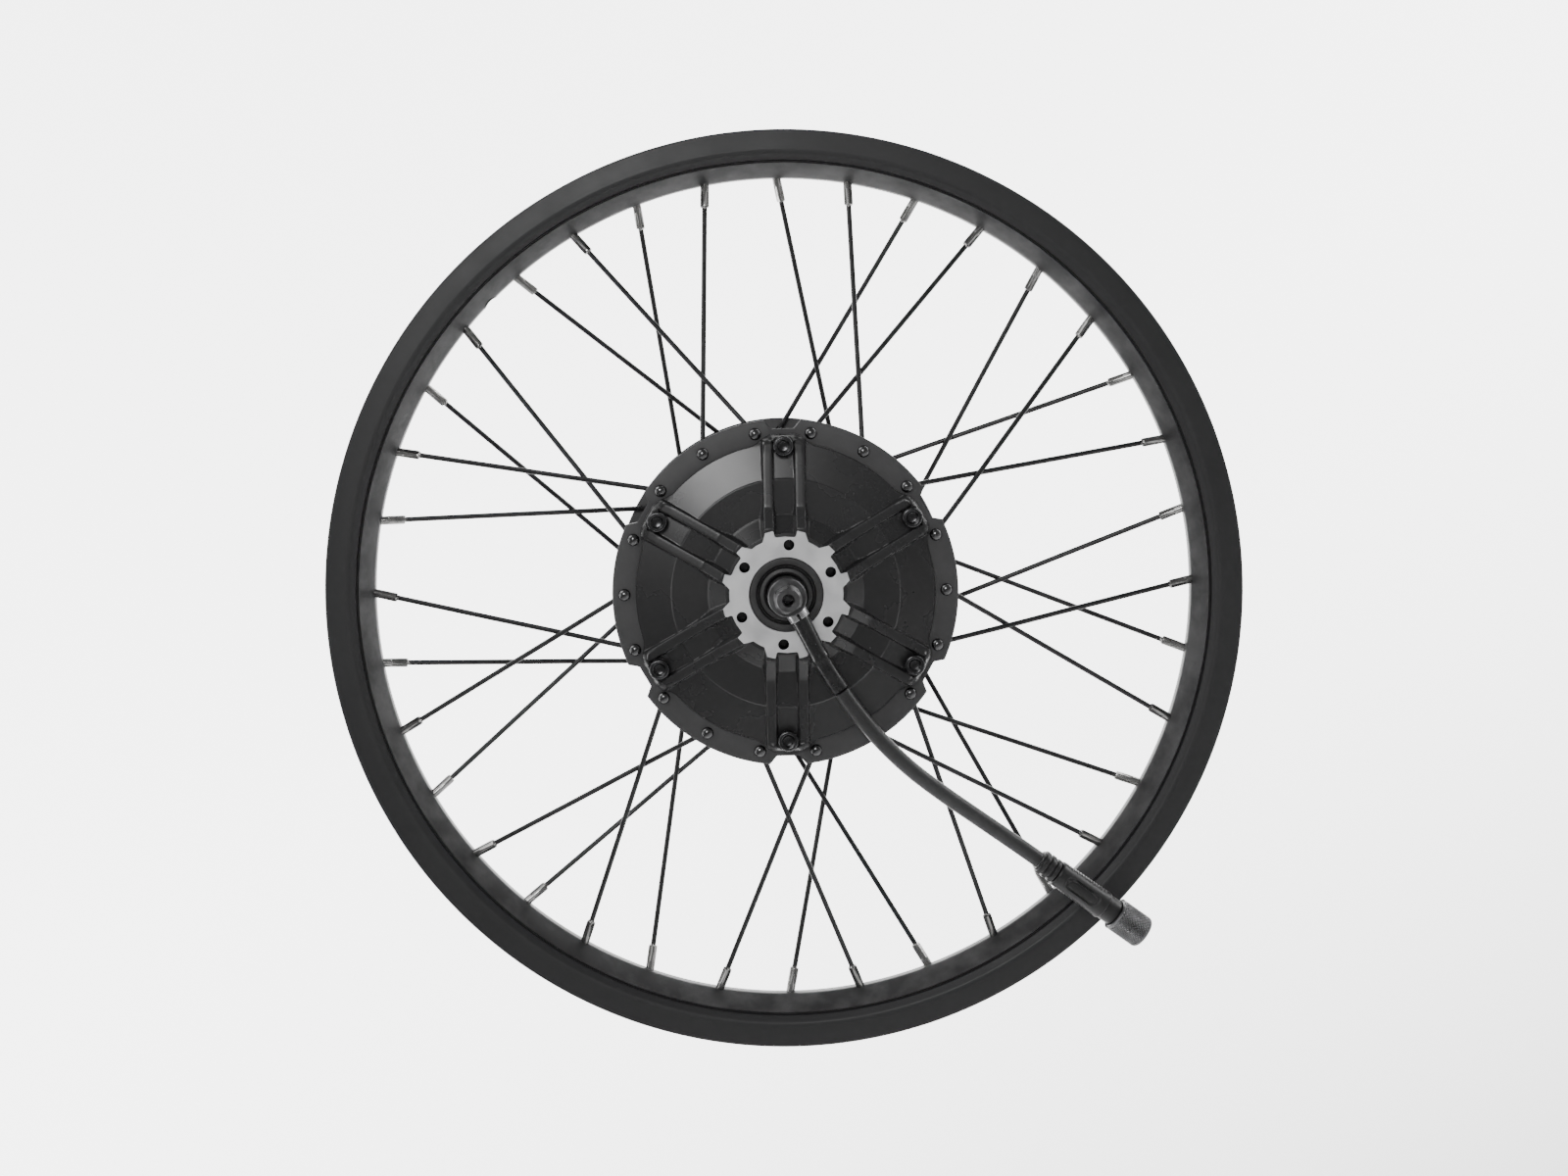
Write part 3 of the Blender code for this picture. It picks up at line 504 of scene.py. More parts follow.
def machined_aluminium():
    """Bare face-turned aluminium: fine rings round the axle and a faint stain."""
    shader = Shader("machined_aluminium", (0.80, 0.80, 0.805), 0.36, 0.85)
    shader.vary_color((0.68, 0.68, 0.69), 70)
    rings = shader.math("SINE", shader.math("MULTIPLY", shader.axle_radius(), 22000.0))
    shader.vary_roughness(0.31, 0.42, 120)
    shader.bump(shader.math("MULTIPLY", rings, shader.noise(300, 2)), 0.000004, 0.3)
    shader.bump(shader.noise(700, 3), 0.00002, 0.15)
    return shader.material


def steel(name, color, roughness, other=None, grain=1500):
    shader = Shader(name, color, roughness, 1.0)
    shader.vary_color(other or tuple(c * 0.7 for c in color), 180)
    shader.vary_roughness(roughness - 0.06, roughness + 0.1, 350)
    shader.bump(shader.noise(grain, 3), 0.00003, 0.3)
    return shader.material


def rubber(name, color, roughness, grain=1600):
    shader = Shader(name, color, roughness)
    shader.vary_color(tuple(c * 1.5 for c in color), 120)
    shader.vary_roughness(roughness - 0.06, roughness + 0.08, 260)
    shader.bump(shader.noise(grain, 3), 0.00005, 0.35)
    return shader.material


def copper_wire():
    """Enamelled wire: fine parallel turns and a lacquer that varies in tone."""
    shader = Shader("copper_wire", (0.62, 0.24, 0.09), 0.3, 1.0)
    shader.vary_color((0.42, 0.14, 0.05), 300)
    turns = shader.math("SINE", shader.math("MULTIPLY", shader.axle_radius(), 9000.0))
    shader.bump(turns, 0.0002, 0.6)
    shader.vary_roughness(0.22, 0.4, 500)
    return shader.material


def nylon():
    shader = Shader("nylon", (0.74, 0.71, 0.62), 0.45)
    shader.vary_color((0.66, 0.62, 0.52), 90)
    shader.vary_roughness(0.38, 0.52, 200)
    shader.bump(shader.noise(900, 3), 0.00004, 0.3)
    return shader.material


def circuit_board():
    shader = Shader("circuit_board", (0.015, 0.10, 0.04), 0.35)
    shader.vary_color((0.03, 0.16, 0.06), 220, 0.48, 0.52)
    shader.vary_roughness(0.28, 0.4, 300)
    shader.bump(shader.noise(1200, 2), 0.00003, 0.3)
    return shader.material


def make_materials():
    return {
        "cover": cover_paint(),
        "shell": shell_paint(),
        "rim": rim_coating(),
        "spoke": spoke_black(),
        "head": steel("spoke_head", (0.13, 0.13, 0.132), 0.18),
        "nickel": nickel(),
        "machined": machined_aluminium(),
        "bolt": steel("bolt_black", (0.075, 0.075, 0.077), 0.20),
        "axle": steel("axle_steel", (0.12, 0.12, 0.122), 0.32, (0.085, 0.085, 0.086)),
        "bright": steel("bright_steel", (0.52, 0.52, 0.53), 0.26),
        "grey": steel("grey_steel", (0.26, 0.26, 0.265), 0.42, grain=500),
        "gun": steel("gun_metal", (0.15, 0.15, 0.153), 0.28, (0.11, 0.11, 0.112)),
        "magnet": steel("magnet_nickel", (0.45, 0.45, 0.46), 0.3),
        "rubber": rubber("black_rubber", (0.008, 0.008, 0.0083), 0.28, 700),
        "cable": rubber("cable_jacket", (0.017, 0.017, 0.0175), 0.40, 900),
        "plastic": rubber("connector_plastic", (0.008, 0.008, 0.0083), 0.40, 900),
        "seal": rubber("seal_rubber", (0.022, 0.022, 0.022), 0.42, 1200),
        "copper": copper_wire(),
        "nylon": nylon(),
        "board": circuit_board(),
    }


# ---- rim

def rim_profile():
    """Side walls that fall away outwards, bead hooks, a sharp groove and the sloping bed."""
    half, groove = RIM_HALF, BED_EDGE_R
    right = [
        (groove - 0.5, half - 3.0, 0.2), (groove, half - 4.4, 0.2),
        (groove + 0.5, half - 4.4, 0.2), (groove + 0.7, half - 2.4, 0.3),
        (groove + 3.4, half - 0.2, 2.6), (RIM_R - 9.4, half, 3.0),
        (RIM_R - 0.2, half - 0.25, 0.9), (RIM_R, half - 1.9, 0.7),
        (RIM_R - 2.6, half - 2.5, 0.5), (RIM_R - 4.2, half - 1.9, 0.6),
        (RIM_R - 6.6, half - 2.7, 1.0), (RIM_R - 7.4, half - 9.0, 1.2),
        (RIM_R - 12.0, half - 11.0, 1.5),
    ]
    left = [(r, -w, f) for r, w, f in reversed(right)]
    bed = [(BED_R - 0.8, -2.5, 4.0), (BED_R - 0.8, 2.5, 4.0)]
    return fillet(right + left + bed, 0.4, steps=5)


def build_rim(mats):
    rim = lathe("rim_surface", rim_profile(), 288, sharp=50)
    outward = (Matrix.Rotation(math.radians(VALVE_ANGLE), 4, "Z")
               @ Matrix.Rotation(math.pi / 2, 4, "Y"))
    cut(rim, cylinder("valve_drill", VALVE_HOLE_R, BED_R - 8, RIM_R + 4, 32, outward))
    finish_piece(rim, mats["rim"], "wheel", "rim")


# ---- spokes and nipples

def crossing_bend(elbow, tip, share_at, lift):
    """Points from elbow to tip that lean by lift where the pair cross."""
    points = []
    for k in range(1, 15):
        t = k / 14
        lean = max(0.0, 1 - abs(t - share_at) / 0.3)
        points.append(elbow.lerp(tip, t) + Vector((0, 0, lift * lean * lean * (3 - 2 * lean))))
    return points


def build_spoke(name, head_angle, nipple_angle, side, mats):
    """A domed head, a bend in the flange, and a straight black stem; then the nipple."""
    axis = Vector((0, 0, side))
    head = polar(HEAD_CIRCLE, head_angle, NEAR_W if side > 0 else FAR_W)
    elbow = head - axis * (FLANGE_THICK + 0.4 + SPOKE_R)
    tip = polar(BED_R + 0.6, nipple_angle, side * 1.6)
    lift = math.copysign(CROSSING_OFFSET, nipple_angle - head_angle)
    run = crossing_bend(elbow, tip, HEAD_CIRCLE / (HEAD_CIRCLE + BED_R), lift)
    dome = []
    for k in range(8):
        angle = math.pi / 2 * k / 7
        dome.append((HEAD_R * math.sin(angle) + 0.02, 0.3 + 1.9 * math.cos(angle)))
    path = [head + axis * height for _, height in dome]
    radii = [radius for radius, _ in dome]
    path += [head + axis * 0.05, head - axis * 0.3, head - axis * FLANGE_THICK * 0.8]
    radii += [HEAD_R - 0.1, SPOKE_R, SPOKE_R]
    toward = (run[0] - elbow).normalized()
    corner = [elbow + axis * 1.3, elbow, elbow + toward * 1.3]
    for t in (0.0, 0.25, 0.5, 0.75, 1.0):
        path.append(corner[0] * (1 - t) ** 2 + corner[1] * 2 * t * (1 - t) + corner[2] * t ** 2)
    path += run[:-1] + [tip - (tip - run[-2]).normalized() * 4]
    radii += [SPOKE_R] * (len(path) - len(radii))
    columns = 16
    spoke = sweep(name, path, radii, columns)
    paint_end(spoke, (len(dome) + 1) * columns, mats)
    return spoke, build_nipple(name.replace("spoke", "nipple"), tip, (run[-2] - tip).normalized())


def paint_end(spoke, face_count, mats):
    """The head is polished where the stem is plain black."""
    spoke.data.materials.append(mats["spoke"])
    spoke.data.materials.append(mats["head"])
    cap = len(spoke.data.polygons) - 2
    for polygon in spoke.data.polygons:
        polygon.material_index = int(polygon.index < face_count or polygon.index == cap)


def build_nipple(name, tip, towards_hub):
    """A round collar at the rim, then four wrench flats to a chamfered end."""
    stations = [(0.0, 1.98, 0), (4.4, 1.98, 0), (4.9, 1.98, 1), (11.2, 1.98, 1),
                (12.0, 1.86, 1), (12.4, 1.55, 0), (12.4, 1.2, 0)]
    path = [tip + towards_hub * (s - 0.15 * (k == 6)) for k, (s, _, _) in enumerate(stations)]

    def flats(angles, k):
        if not stations[k][2]:
            return np.ones(len(angles))
        square = 1.68 / 1.98 / np.maximum(np.abs(np.cos(angles)), np.abs(np.sin(angles)))
        return np.minimum(1.0, square)

    return sweep(name, path, [r for _, r, _ in stations], 32, flats, sharp=25)


def build_spokes(mats):
    """Four spokes are modelled, one for each way a spoke can lean, and the rest are copies."""
    for side_name, side, start in (("disc_side", 1, -10.0), ("drive_side", -1, 0.0)):
        for lean, (head_angle, nipple_angle) in enumerate(((start, start + PITCH),
                                                           (start + PITCH, start))):
            first, nipple = build_spoke(f"{side_name}_spoke_1_{lean + 1}", head_angle,
                                        nipple_angle, side, mats)
            for pair in range(SPOKES // 4):
                node = f"{side_name}_spoke_pair_{pair + 1}"
                for source, kind in ((first, "spoke"), (nipple, "nipple")):
                    name = f"{side_name}_{kind}_{pair + 1}_{lean + 1}"
                    copy = source if pair == 0 else turned_copy(source, name, 2 * PITCH * pair)
                    material = mats["spoke" if kind == "spoke" else "nickel"]
                    finish_piece(copy, material, "wheel", node)


# ---- hub shell

def shell_profile():
    """Drum with two flanges and a domed drive side that ends in the freewheel boss."""
    near_in, far_in = NEAR_W - FLANGE_THICK, FAR_W + FLANGE_THICK
    return fillet([
        (61.0, NEAR_W, 0.2), (FLANGE_R, NEAR_W, 1.0),
        (FLANGE_R, near_in, 1.0), (DRUM_R, near_in, 1.5),
        (DRUM_R, far_in, 1.5), (FLANGE_R, far_in, 1.0),
        (FLANGE_R, FAR_W, 1.0), (62.5, FAR_W, 2.0),
        (54.5, -29.6, 5.0), (24.0, -30.0, 1.5),
        (22.5, -31.4, 1.0), (17.6, -31.4, 0.4),
        (17.0, -33.0, 0.3), (17.0, BOSS_W + 3, 0.3),
        (14.3, BOSS_W + 3, 0.3), (14.3, -29.7, 0.2),
        (11.0, -29.7, 0.3), (11.0, -26.5, 0.3),
        (45.0, -26.5, 0.5), (45.0, -20.3, 0.3),
        (57.0, -20.3, 0.5), (65.0, -14.0, 1.0),
        (65.0, 28.0, 0.3), (61.0, 28.0, 0.3),
    ], 0.5, steps=3)


def notch_tools(k):
    """The notch, and a wider shallow tool that chamfers its edge."""
    turn = Matrix.Rotation(math.radians(60 * k), 4, "Z")
    tools = []
    for label, grow, low, bevel in (("notch", 0.0, NEAR_W - 5, 0.01),
                                    ("chamfer", 0.4, NEAR_W - 0.4, 0.4)):
        floor, top = FLANGE_R - 4.3 - grow, FLANGE_R + 4
        corners = [(floor, -5.0 - grow, 1.0), (FLANGE_R + 0.3, -8.9 - grow, 0),
                   (top, -8.9 - grow, 0), (top, 8.9 + grow, 0),
                   (FLANGE_R + 0.3, 8.9 + grow, 0), (floor, 5.0 + grow, 1.0)]
        tools.append(plate(f"{label}_{k}", [fillet(corners, 1.0)], low, NEAR_W + 1, bevel, turn))
    return tools


def hole_tools(count, start, low, high, turn=Matrix.Identity(4)):
    """Drills for the spoke holes, wider near the flange face for a chamfer."""
    tools, drill, mouth = [], 1.55, 2.0
    stations = {low: drill, low + 1.0: drill, high - 1.45: drill,
                high - 1.0: mouth, high: mouth}
    for k in range(count):
        place = turn @ Matrix.Translation(polar(HEAD_CIRCLE, start + PITCH * k))
        tools.append(rod(f"hole_{k}", list(stations), lambda a, w: stations[w] + 0 * a, 20, place))
    return tools


def build_shell(mats):
    shell = lathe("hub_shell_surface", shell_profile(), 180)
    near = NEAR_W - FLANGE_THICK - 1
    cut(shell, *[tool for k in range(6) for tool in notch_tools(k)],
        *hole_tools(18, 10.0, near, NEAR_W + 1))
    over = Matrix.Rotation(math.pi, 4, "X")
    cut(shell, *hole_tools(18, 0.0, -FAR_W - FLANGE_THICK - 1, -FAR_W + 1, over))
    finish_piece(shell, mats["shell"], "wheel", "hub_shell")
    heights = np.arange(BOSS_W, -32.6, 0.132)
    boss = rod("freewheel_thread", heights, lambda a, w: thread_radius(
        a, w, FREEWHEEL_R, 1.058, BOSS_W, -33.0), 96)
    cut(boss, cylinder("freewheel_bore", 14.35, BOSS_W - 1, -30.5, 96))
    finish_piece(boss, mats["grey"], "wheel", "hub_shell")


def thread_radius(angles, w, outer, pitch, low, high):
    """A 60 degree helical thread that runs out at both ends."""
    phase = (w / pitch - angles / TAU) % 1.0
    depth = pitch * 0.58
    groove = np.clip(1 - np.abs(phase - 0.5) * 2 * 1.15, 0, 1)
    chamfer = max(0.0, 1.0 - min(w - low, high - w) / (pitch * 0.9))
    return outer - depth * np.maximum(groove, chamfer)


# ---- disc-side cover

def smooth_max(a, b, k):
    h = np.clip(0.5 + 0.5 * (a - b) / k, 0, 1)
    return b * (1 - h) + a * h + k * h * (1 - h)


def smooth_min(a, b, k):
    return -smooth_max(-a, -b, k)


def cover_edge(angles):
    """The cover's outer radius: a circle with a lobe round each bolt."""
    off = (np.degrees(angles) + 30) % 60 - 30
    t = np.clip((13.0 - np.abs(off)) / 9.0, 0, 1)
    return COVER_R + LOBE * t * t * (3 - 2 * t)


def cover_height(r, angles):
    """Height of the cast surface over (r, angle): cone, plateau, boss wall and ribs."""
    off = np.radians((np.degrees(angles) + 30) % 60 - 30)
    along, across = r * np.cos(off), np.abs(r * np.sin(off))
    base = np.interp(r, [24, 25.8, 34.4, 35.0, 50.7, 51.3, COVER_R, 75],
                     [48.6, 48.6, 44.3, 43.85, 43.75, 43.35, 40.9, 40.7])
    top = np.interp(along, [24, 29.2, 37.4, 38.6, 39.8, 62.5, 67.5, 69.6, 72],
                    [51.0, 51.0, 46.6, 46.15, 46.0, 43.9, 43.6, 42.6, 40.5])
    from_centre = np.abs(across - RIB_OFFSET)
    rib = smooth_min(top, top - FLANK_SLOPE * (from_centre - RIB_HALF), 0.8)
    arch = np.interp(along, [66.8, 67.6, 69.2, 70.4], [38.0, 44.4, 44.2, 41.0])
    arch = smooth_min(arch, arch - FLANK_SLOPE * (across - RIB_OFFSET), 0.6)
    surface = smooth_max(base, rib, 0.5)
    return smooth_max(surface, np.where(across < 12, arch, 0), 0.3)


def sector_offsets():
    """How far the mesh columns lie from a rib pair's centre line: close together on the ribs."""
    offsets = [0.0, 1.5, 3.0, 4.0, RIB_OFFSET - 0.6, RIB_OFFSET + 0.6]
    for out in (-1, 1):
        edge = RIB_OFFSET + out * RIB_HALF
        offsets += [edge + out * s for s in (-0.35, -0.15, 0, 0.15, 0.35, 0.6, 0.85, 1.1, 1.4)]
    return sorted(set(round(v, 3) for v in offsets))


def cover_columns(r):
    """Angles round one ring: fixed offsets on the ribs, even steps between them."""
    ribs = [math.degrees(math.asin(min(v / r, 0.49))) for v in sector_offsets()]
    plain = np.linspace(ribs[-1], 30, 16)[1:]
    half = ribs + list(plain)
    whole = [-v for v in reversed(half[1:-1])] + half
    return np.array([60 * k + v for k in range(6) for v in whole])


def cover_rings():
    """Radii from the inner to the outer edge, closer together where the surface turns."""
    stops = [COVER_BORE_R, 27.6, 33.0, 36.0, 41.0, 50.0, 52.0, 62.0, 66.2, COVER_R]
    steps = [4, 14, 12, 16, 8, 14, 12, 10, 3]
    radii = [stops[0]]
    for low, high, count in zip(stops, stops[1:], steps):
        radii += list(np.linspace(low, high, count + 1)[1:])
    return radii


def build_cover(mats):
    rings = []
    for r in cover_rings():
        angles = np.radians(cover_columns(r))
        stretch = np.clip((r - 62.0) / (COVER_R - 62.0), 0, 1)
        radius = r + (cover_edge(angles) - COVER_R) * stretch
        height = cover_height(radius, angles)
        rings.append((radius, angles, height))
    radius, angles, height = rings[-1]
    for outset, drop in ((0.12, 0.25), (0.3, 0.75)):
        rings.append((radius + outset, angles, height - drop))
    rings.append((radius + 0.35, angles, NEAR_W + 0.15))
    rings.append((60.0, angles, NEAR_W + 0.15))
    rings.append((50.0, angles, COVER_BACK_W))
    rings.append((COVER_BORE_R, angles, COVER_BACK_W))
    points = [ring_points(r, a, w) for r, a, w in rings]
    faces = grid_faces(len(rings), len(rings[0][1]), close_rows=True)
    cover = mesh_object("cover_casting", np.concatenate(points), faces, 60)
    cut(cover, *[cylinder(f"bolt_seat_{k}", 5.25, BOLT_SEAT - 0.3, 50.0, 40,
                          Matrix.Translation(polar(BOLT_R, 60 * k))) for k in range(6)])
    shade(cover, 50)
    finish_piece(cover, mats["cover"], "wheel", "disc_side_cover")
    build_disc_mount(mats)


def disc_mount_outline():
    """The machined face: a circle with six pairs of teeth where the ribs are cut flush."""
    points = []
    low, high = RIB_OFFSET - 2.1, RIB_OFFSET + 2.1
    for k in range(6):
        def at(radius, across, sign):
            along = math.sqrt(radius ** 2 - across ** 2)
            return Matrix.Rotation(math.radians(60 * k), 2) @ Vector((along, sign * across))
        half = [(DISC_R + 0.5, 0.01, 1.0), (DISC_R + 0.5, low - 0.5, 0.9),
                (TOOTH_R, low + 0.2, 0.5), (TOOTH_R, high - 0.3, 0.5), (DISC_R, high + 0.9, 0.8)]
        points += [(*at(r, v, -1), f) for r, v, f in reversed(half)]
        points += [(*at(r, v, 1), f) for r, v, f in half[1:]]
        start = math.degrees(math.asin((high + 0.9) / DISC_R))
        for degrees in np.linspace(start, 60 - start, 8)[1:-1]:
            points.append((*(Matrix.Rotation(math.radians(60 * k + degrees), 2)
                             @ Vector((DISC_R, 0))), 0.0))
    return fillet(points, 0.5, steps=4)


def build_disc_mount(mats):
    centres = [polar(DISC_CIRCLE, DISC_HOLE_START + 60 * k) for k in range(6)]
    holes = [circle(DISC_HOLE_R + 0.25, 32, centre) for centre in centres]
    face = plate("disc_mount_face", [disc_mount_outline(), circle(SEAL_R + 0.15, 128)] + holes,
                 49.0, FACE_W, 0.18)
    finish_piece(face, mats["machined"], "wheel", "disc_side_cover")
    heights = np.arange(42.0, FACE_W - 0.7, 0.11)
    for k, centre in enumerate(centres):
        sleeve = tapped_sleeve(f"disc_thread_{k + 1}", heights, Matrix.Translation(centre))
        finish_piece(sleeve, mats["bolt"], "wheel", "disc_side_cover")
    collar = lathe("disc_mount_core", fillet([
        (SEAL_R + 0.15, 50.0), (27.0, 50.0), (27.0, 41.0), (SEAL_R + 1.5, 41.0)], 0.2), 96)
    cut(collar, *[cylinder(f"core_hole_{k}", DISC_HOLE_R + 0.5, 41.5, 51.0, 24,
                           Matrix.Translation(place)) for k, place in enumerate(centres)])
    finish_piece(collar, mats["cover"], "wheel", "disc_side_cover")


def tapped_sleeve(name, heights, place):
    """The threaded wall of a tapped hole, closed at the bottom."""
    angles = np.linspace(0, TAU, 32, endpoint=False)
    rows = []
    for w in heights:
        phase = (w / 0.8 - angles / TAU) % 1.0
        r = DISC_HOLE_R + 0.38 * np.clip(1 - np.abs(phase - 0.5) * 2, 0, 1)
        rows.append(ring_points(r, angles, w))
    for w in (heights[-1], heights[0] - 0.5):
        rows.append(ring_points(DISC_HOLE_R + 0.48, angles, w))
    points = moved(np.concatenate(rows), place)
    return mesh_object(name, points, tube_faces(len(rows), len(angles)), 30)


def build_bolts(mats):
    """Cap screws with a rounded rim, a chamfered mouth and a hexagon socket."""
    top, rim = BOLT_TOP, BOLT_HEAD_R
    head = fillet([(0, top - 0.9), (2.15, top - 0.9, 0.1), (2.9, top - 0.1, 0.15),
                   (3.2, top, 0.2), (rim - 0.5, top, 0.8), (rim, top - 0.8, 0.8),
                   (rim, BOLT_SEAT + 0.4, 0.3), (2.2, BOLT_SEAT + 0.2, 0.1), (2.2, 34.0, 0.3),
                   (0, 34.0)], 0.3, closed=False)
    place = Matrix.Translation(polar(BOLT_R, 0))
    bolt = lathe("cover_screw_1", head, 64, closed=False, place=place)
    socket = plate("socket", [circle(2.3, 6)], top - 3.2, top - 0.5, 0.01, place)
    cut(bolt, socket)
    for k in range(6):
        screw = bolt if k == 0 else turned_copy(bolt, f"cover_screw_{k + 1}", 60 * k)
        finish_piece(screw, mats["bolt"], "wheel", f"cover_bolt_{k + 1}")


# ---- axle and its fittings

def axle_radius_at(angles, w):
    """Shoulder, threads with two flats, and chamfered tips."""
    if 1.0 < w <= DROPOUT_W:
        return AXLE_R - max(0.0, w - DROPOUT_W + 0.4) + 0 * angles
    near = w > DROPOUT_W
    low, high = (DROPOUT_W, AXLE_TIP) if near else (-AXLE_TIP, -1.0)
    run_out = 3.0
    radius = thread_radius(angles, w, THREAD_R, 1.25, low - run_out * near,
                           high + run_out * (not near))
    radius = np.minimum(radius, THREAD_R - 1.1 + min(AXLE_TIP - abs(w), 1.1))
    if abs(w) > DROPOUT_W:
        radius = np.minimum(radius, FLAT_HALF / np.maximum(np.abs(np.sin(angles)), 1e-6))
    return radius


def build_axle(mats):
    near = list(np.arange(DROPOUT_W + 0.16, AXLE_TIP - 0.1, 0.16))
    near = [DROPOUT_W + 0.02] + near + [AXLE_TIP]
    far = [-w for w in reversed(near)]
    shoulder = [-DROPOUT_W + 0.02, -10, 1.0, 1.02, DROPOUT_W - 0.4, DROPOUT_W]
    axle = rod("axle_surface", far + shoulder + near, axle_radius_at, 96, sharp=35)
    centre = rod("centre_drill", [AXLE_TIP - 18, AXLE_TIP - 0.5, AXLE_TIP + 1],
                 lambda a, w: (2.35 if w < AXLE_TIP - 0.4 else 3.6) + 0 * a, 40)
    exit_hole = cylinder("exit_drill", 4.35, -12.0, -4.0, 40,
                         Matrix.Translation((0, 0, CABLE_ROUTE[0][2]))
                         @ Matrix.Rotation(-math.pi / 2, 4, "X"))
    cut(axle, centre, exit_hole)
    finish_piece(axle, mats["axle"], "axle", "axle")
    seal = fillet([
        (SEAL_R, SEAL_HIGH, 0.4), (SEAL_R, SEAL_LOW, 0.3),
        (AXLE_R + 0.35, SEAL_LOW, 0.3), (AXLE_R + 0.35, SEAL_HIGH - 1.6, 0.3),
        (9.9, SEAL_HIGH - 0.3, 0.5), (11.6, SEAL_HIGH - 0.6, 0.5),
        (12.3, SEAL_HIGH - 2.6, 0.4), (13.0, SEAL_HIGH - 2.2, 0.3),
        (13.2, SEAL_HIGH, 0.5),
    ], 0.3)
    lip = lathe("axle_seal_lip", seal, 128)
    finish_piece(lip, mats["seal"], "wheel", "axle_seal")
    build_drive_side_fittings(mats)


def build_drive_side_fittings(mats):
    spacer = lathe("spacer_sleeve", fillet([
        (6.3, SPACER_HIGH), (SPACER_R - 0.2, SPACER_HIGH, 0.6), (SPACER_R, -50.0, 0.2),
        (SPACER_R, SPACER_LOW, 0.6), (6.3, SPACER_LOW)], 0.3), 96)
    finish_piece(spacer, mats["grey"], "axle", "drive_side_spacer")

    def hexagon(angles, w):
        flat = 8.49 / np.cos((angles + math.pi / 6) % (math.pi / 3) - math.pi / 6)
        edge = min(w - NUT_LOW, NUT_HIGH - w)
        return np.minimum(flat, 8.7 + 0.95 * min(edge / 0.9, 1.5))

    steps = (0, 0.15, 0.5, 1.0)
    heights = [NUT_LOW + s for s in steps] + [NUT_HIGH - s for s in reversed(steps)]
    nut = rod("locknut", heights, hexagon, 96, sharp=20)
    cut(nut, cylinder("locknut_bore", THREAD_R + 0.2, NUT_LOW - 1, NUT_HIGH + 1, 64))
    finish_piece(nut, mats["grey"], "axle", "drive_side_locknut")


# ---- cable and connector

def build_cable(mats):
    route = smooth_route(CABLE_ROUTE, 1.0)
    split = round(BOOT_LENGTH)
    step_at = 0.56
    boot_path = route[:split + 1]
    radii = []
    for k in range(len(boot_path)):
        t = k / (len(boot_path) - 1)
        radii.append(4.1 - 0.25 * min(t / 0.5, 1) if t < step_at else 3.88)
    radii[0] = 3.7
    step = round(step_at * split)
    radii[step - 1:step + 3] = [3.9, 4.12, 4.1, 3.9]
    boot = sweep("heat_shrink_boot", boot_path, radii, 40, sharp=60)
    finish_piece(boot, mats["rubber"], "axle", "cable_boot")
    path = smooth_route(route[split + 1::5] + [route[-1]], 5.0)
    curve = bpy.data.curves.new("cable_jacket", "CURVE")
    curve.dimensions = "3D"
    curve.bevel_depth = CABLE_R * MM
    curve.bevel_resolution = 8
    curve.use_fill_caps = True
    spline = curve.splines.new("POLY")
    spline.points.add(len(path) - 1)
    for point, place in zip(spline.points, to_world([tuple(p) for p in path])):
        point.co = (*place, 1)
    cable = add_object("cable_jacket", curve)
    finish_piece(cable, mats["cable"], "axle", "motor_cable")
    length = sum((b - a).length for a, b in zip(path, path[1:])) * MM
    return cable, boot, tuple(to_world(tuple(path[0]))), length


def connector_place():
    """A matrix whose w axis is the one the nut turns on, from the cable's end."""
    joints = frame["record"]["behaviour"]["joints"]
    x, y, z = next(j["axis"] for j in joints if j["name"] == "connector_nut_turn")
    along = Vector((x, z, -y))
    place = along.to_track_quat("Z", "Y").to_matrix().to_4x4()
    place.translation = Vector(CABLE_ROUTE[-1]) + along * CONNECTOR_GAP
    return place


def build_connector(mats):
    place = connector_place()
    ribs = []
    for k in range(3):
        top = 9.1 - k * 3.07
        ribs += [(RELIEF_R, top, 0.5), (RELIEF_R, top - 1.95, 0.5), (4.55, top - 2.1, 0.2),
                 (4.55, top - 2.95, 0.2)]
    relief = lathe("strain_relief_ribs", fillet([(0, 9.2)] + ribs + [(4.2, 0.1, 0.3), (0, 0.1)],
                                                0.3, closed=False), 64, closed=False, place=place)
    finish_piece(relief, mats["plastic"], "axle", "connector_strain_relief")
    body = build_plug(mats, place)
    nut = build_nut(mats, place)
    return relief, body, nut


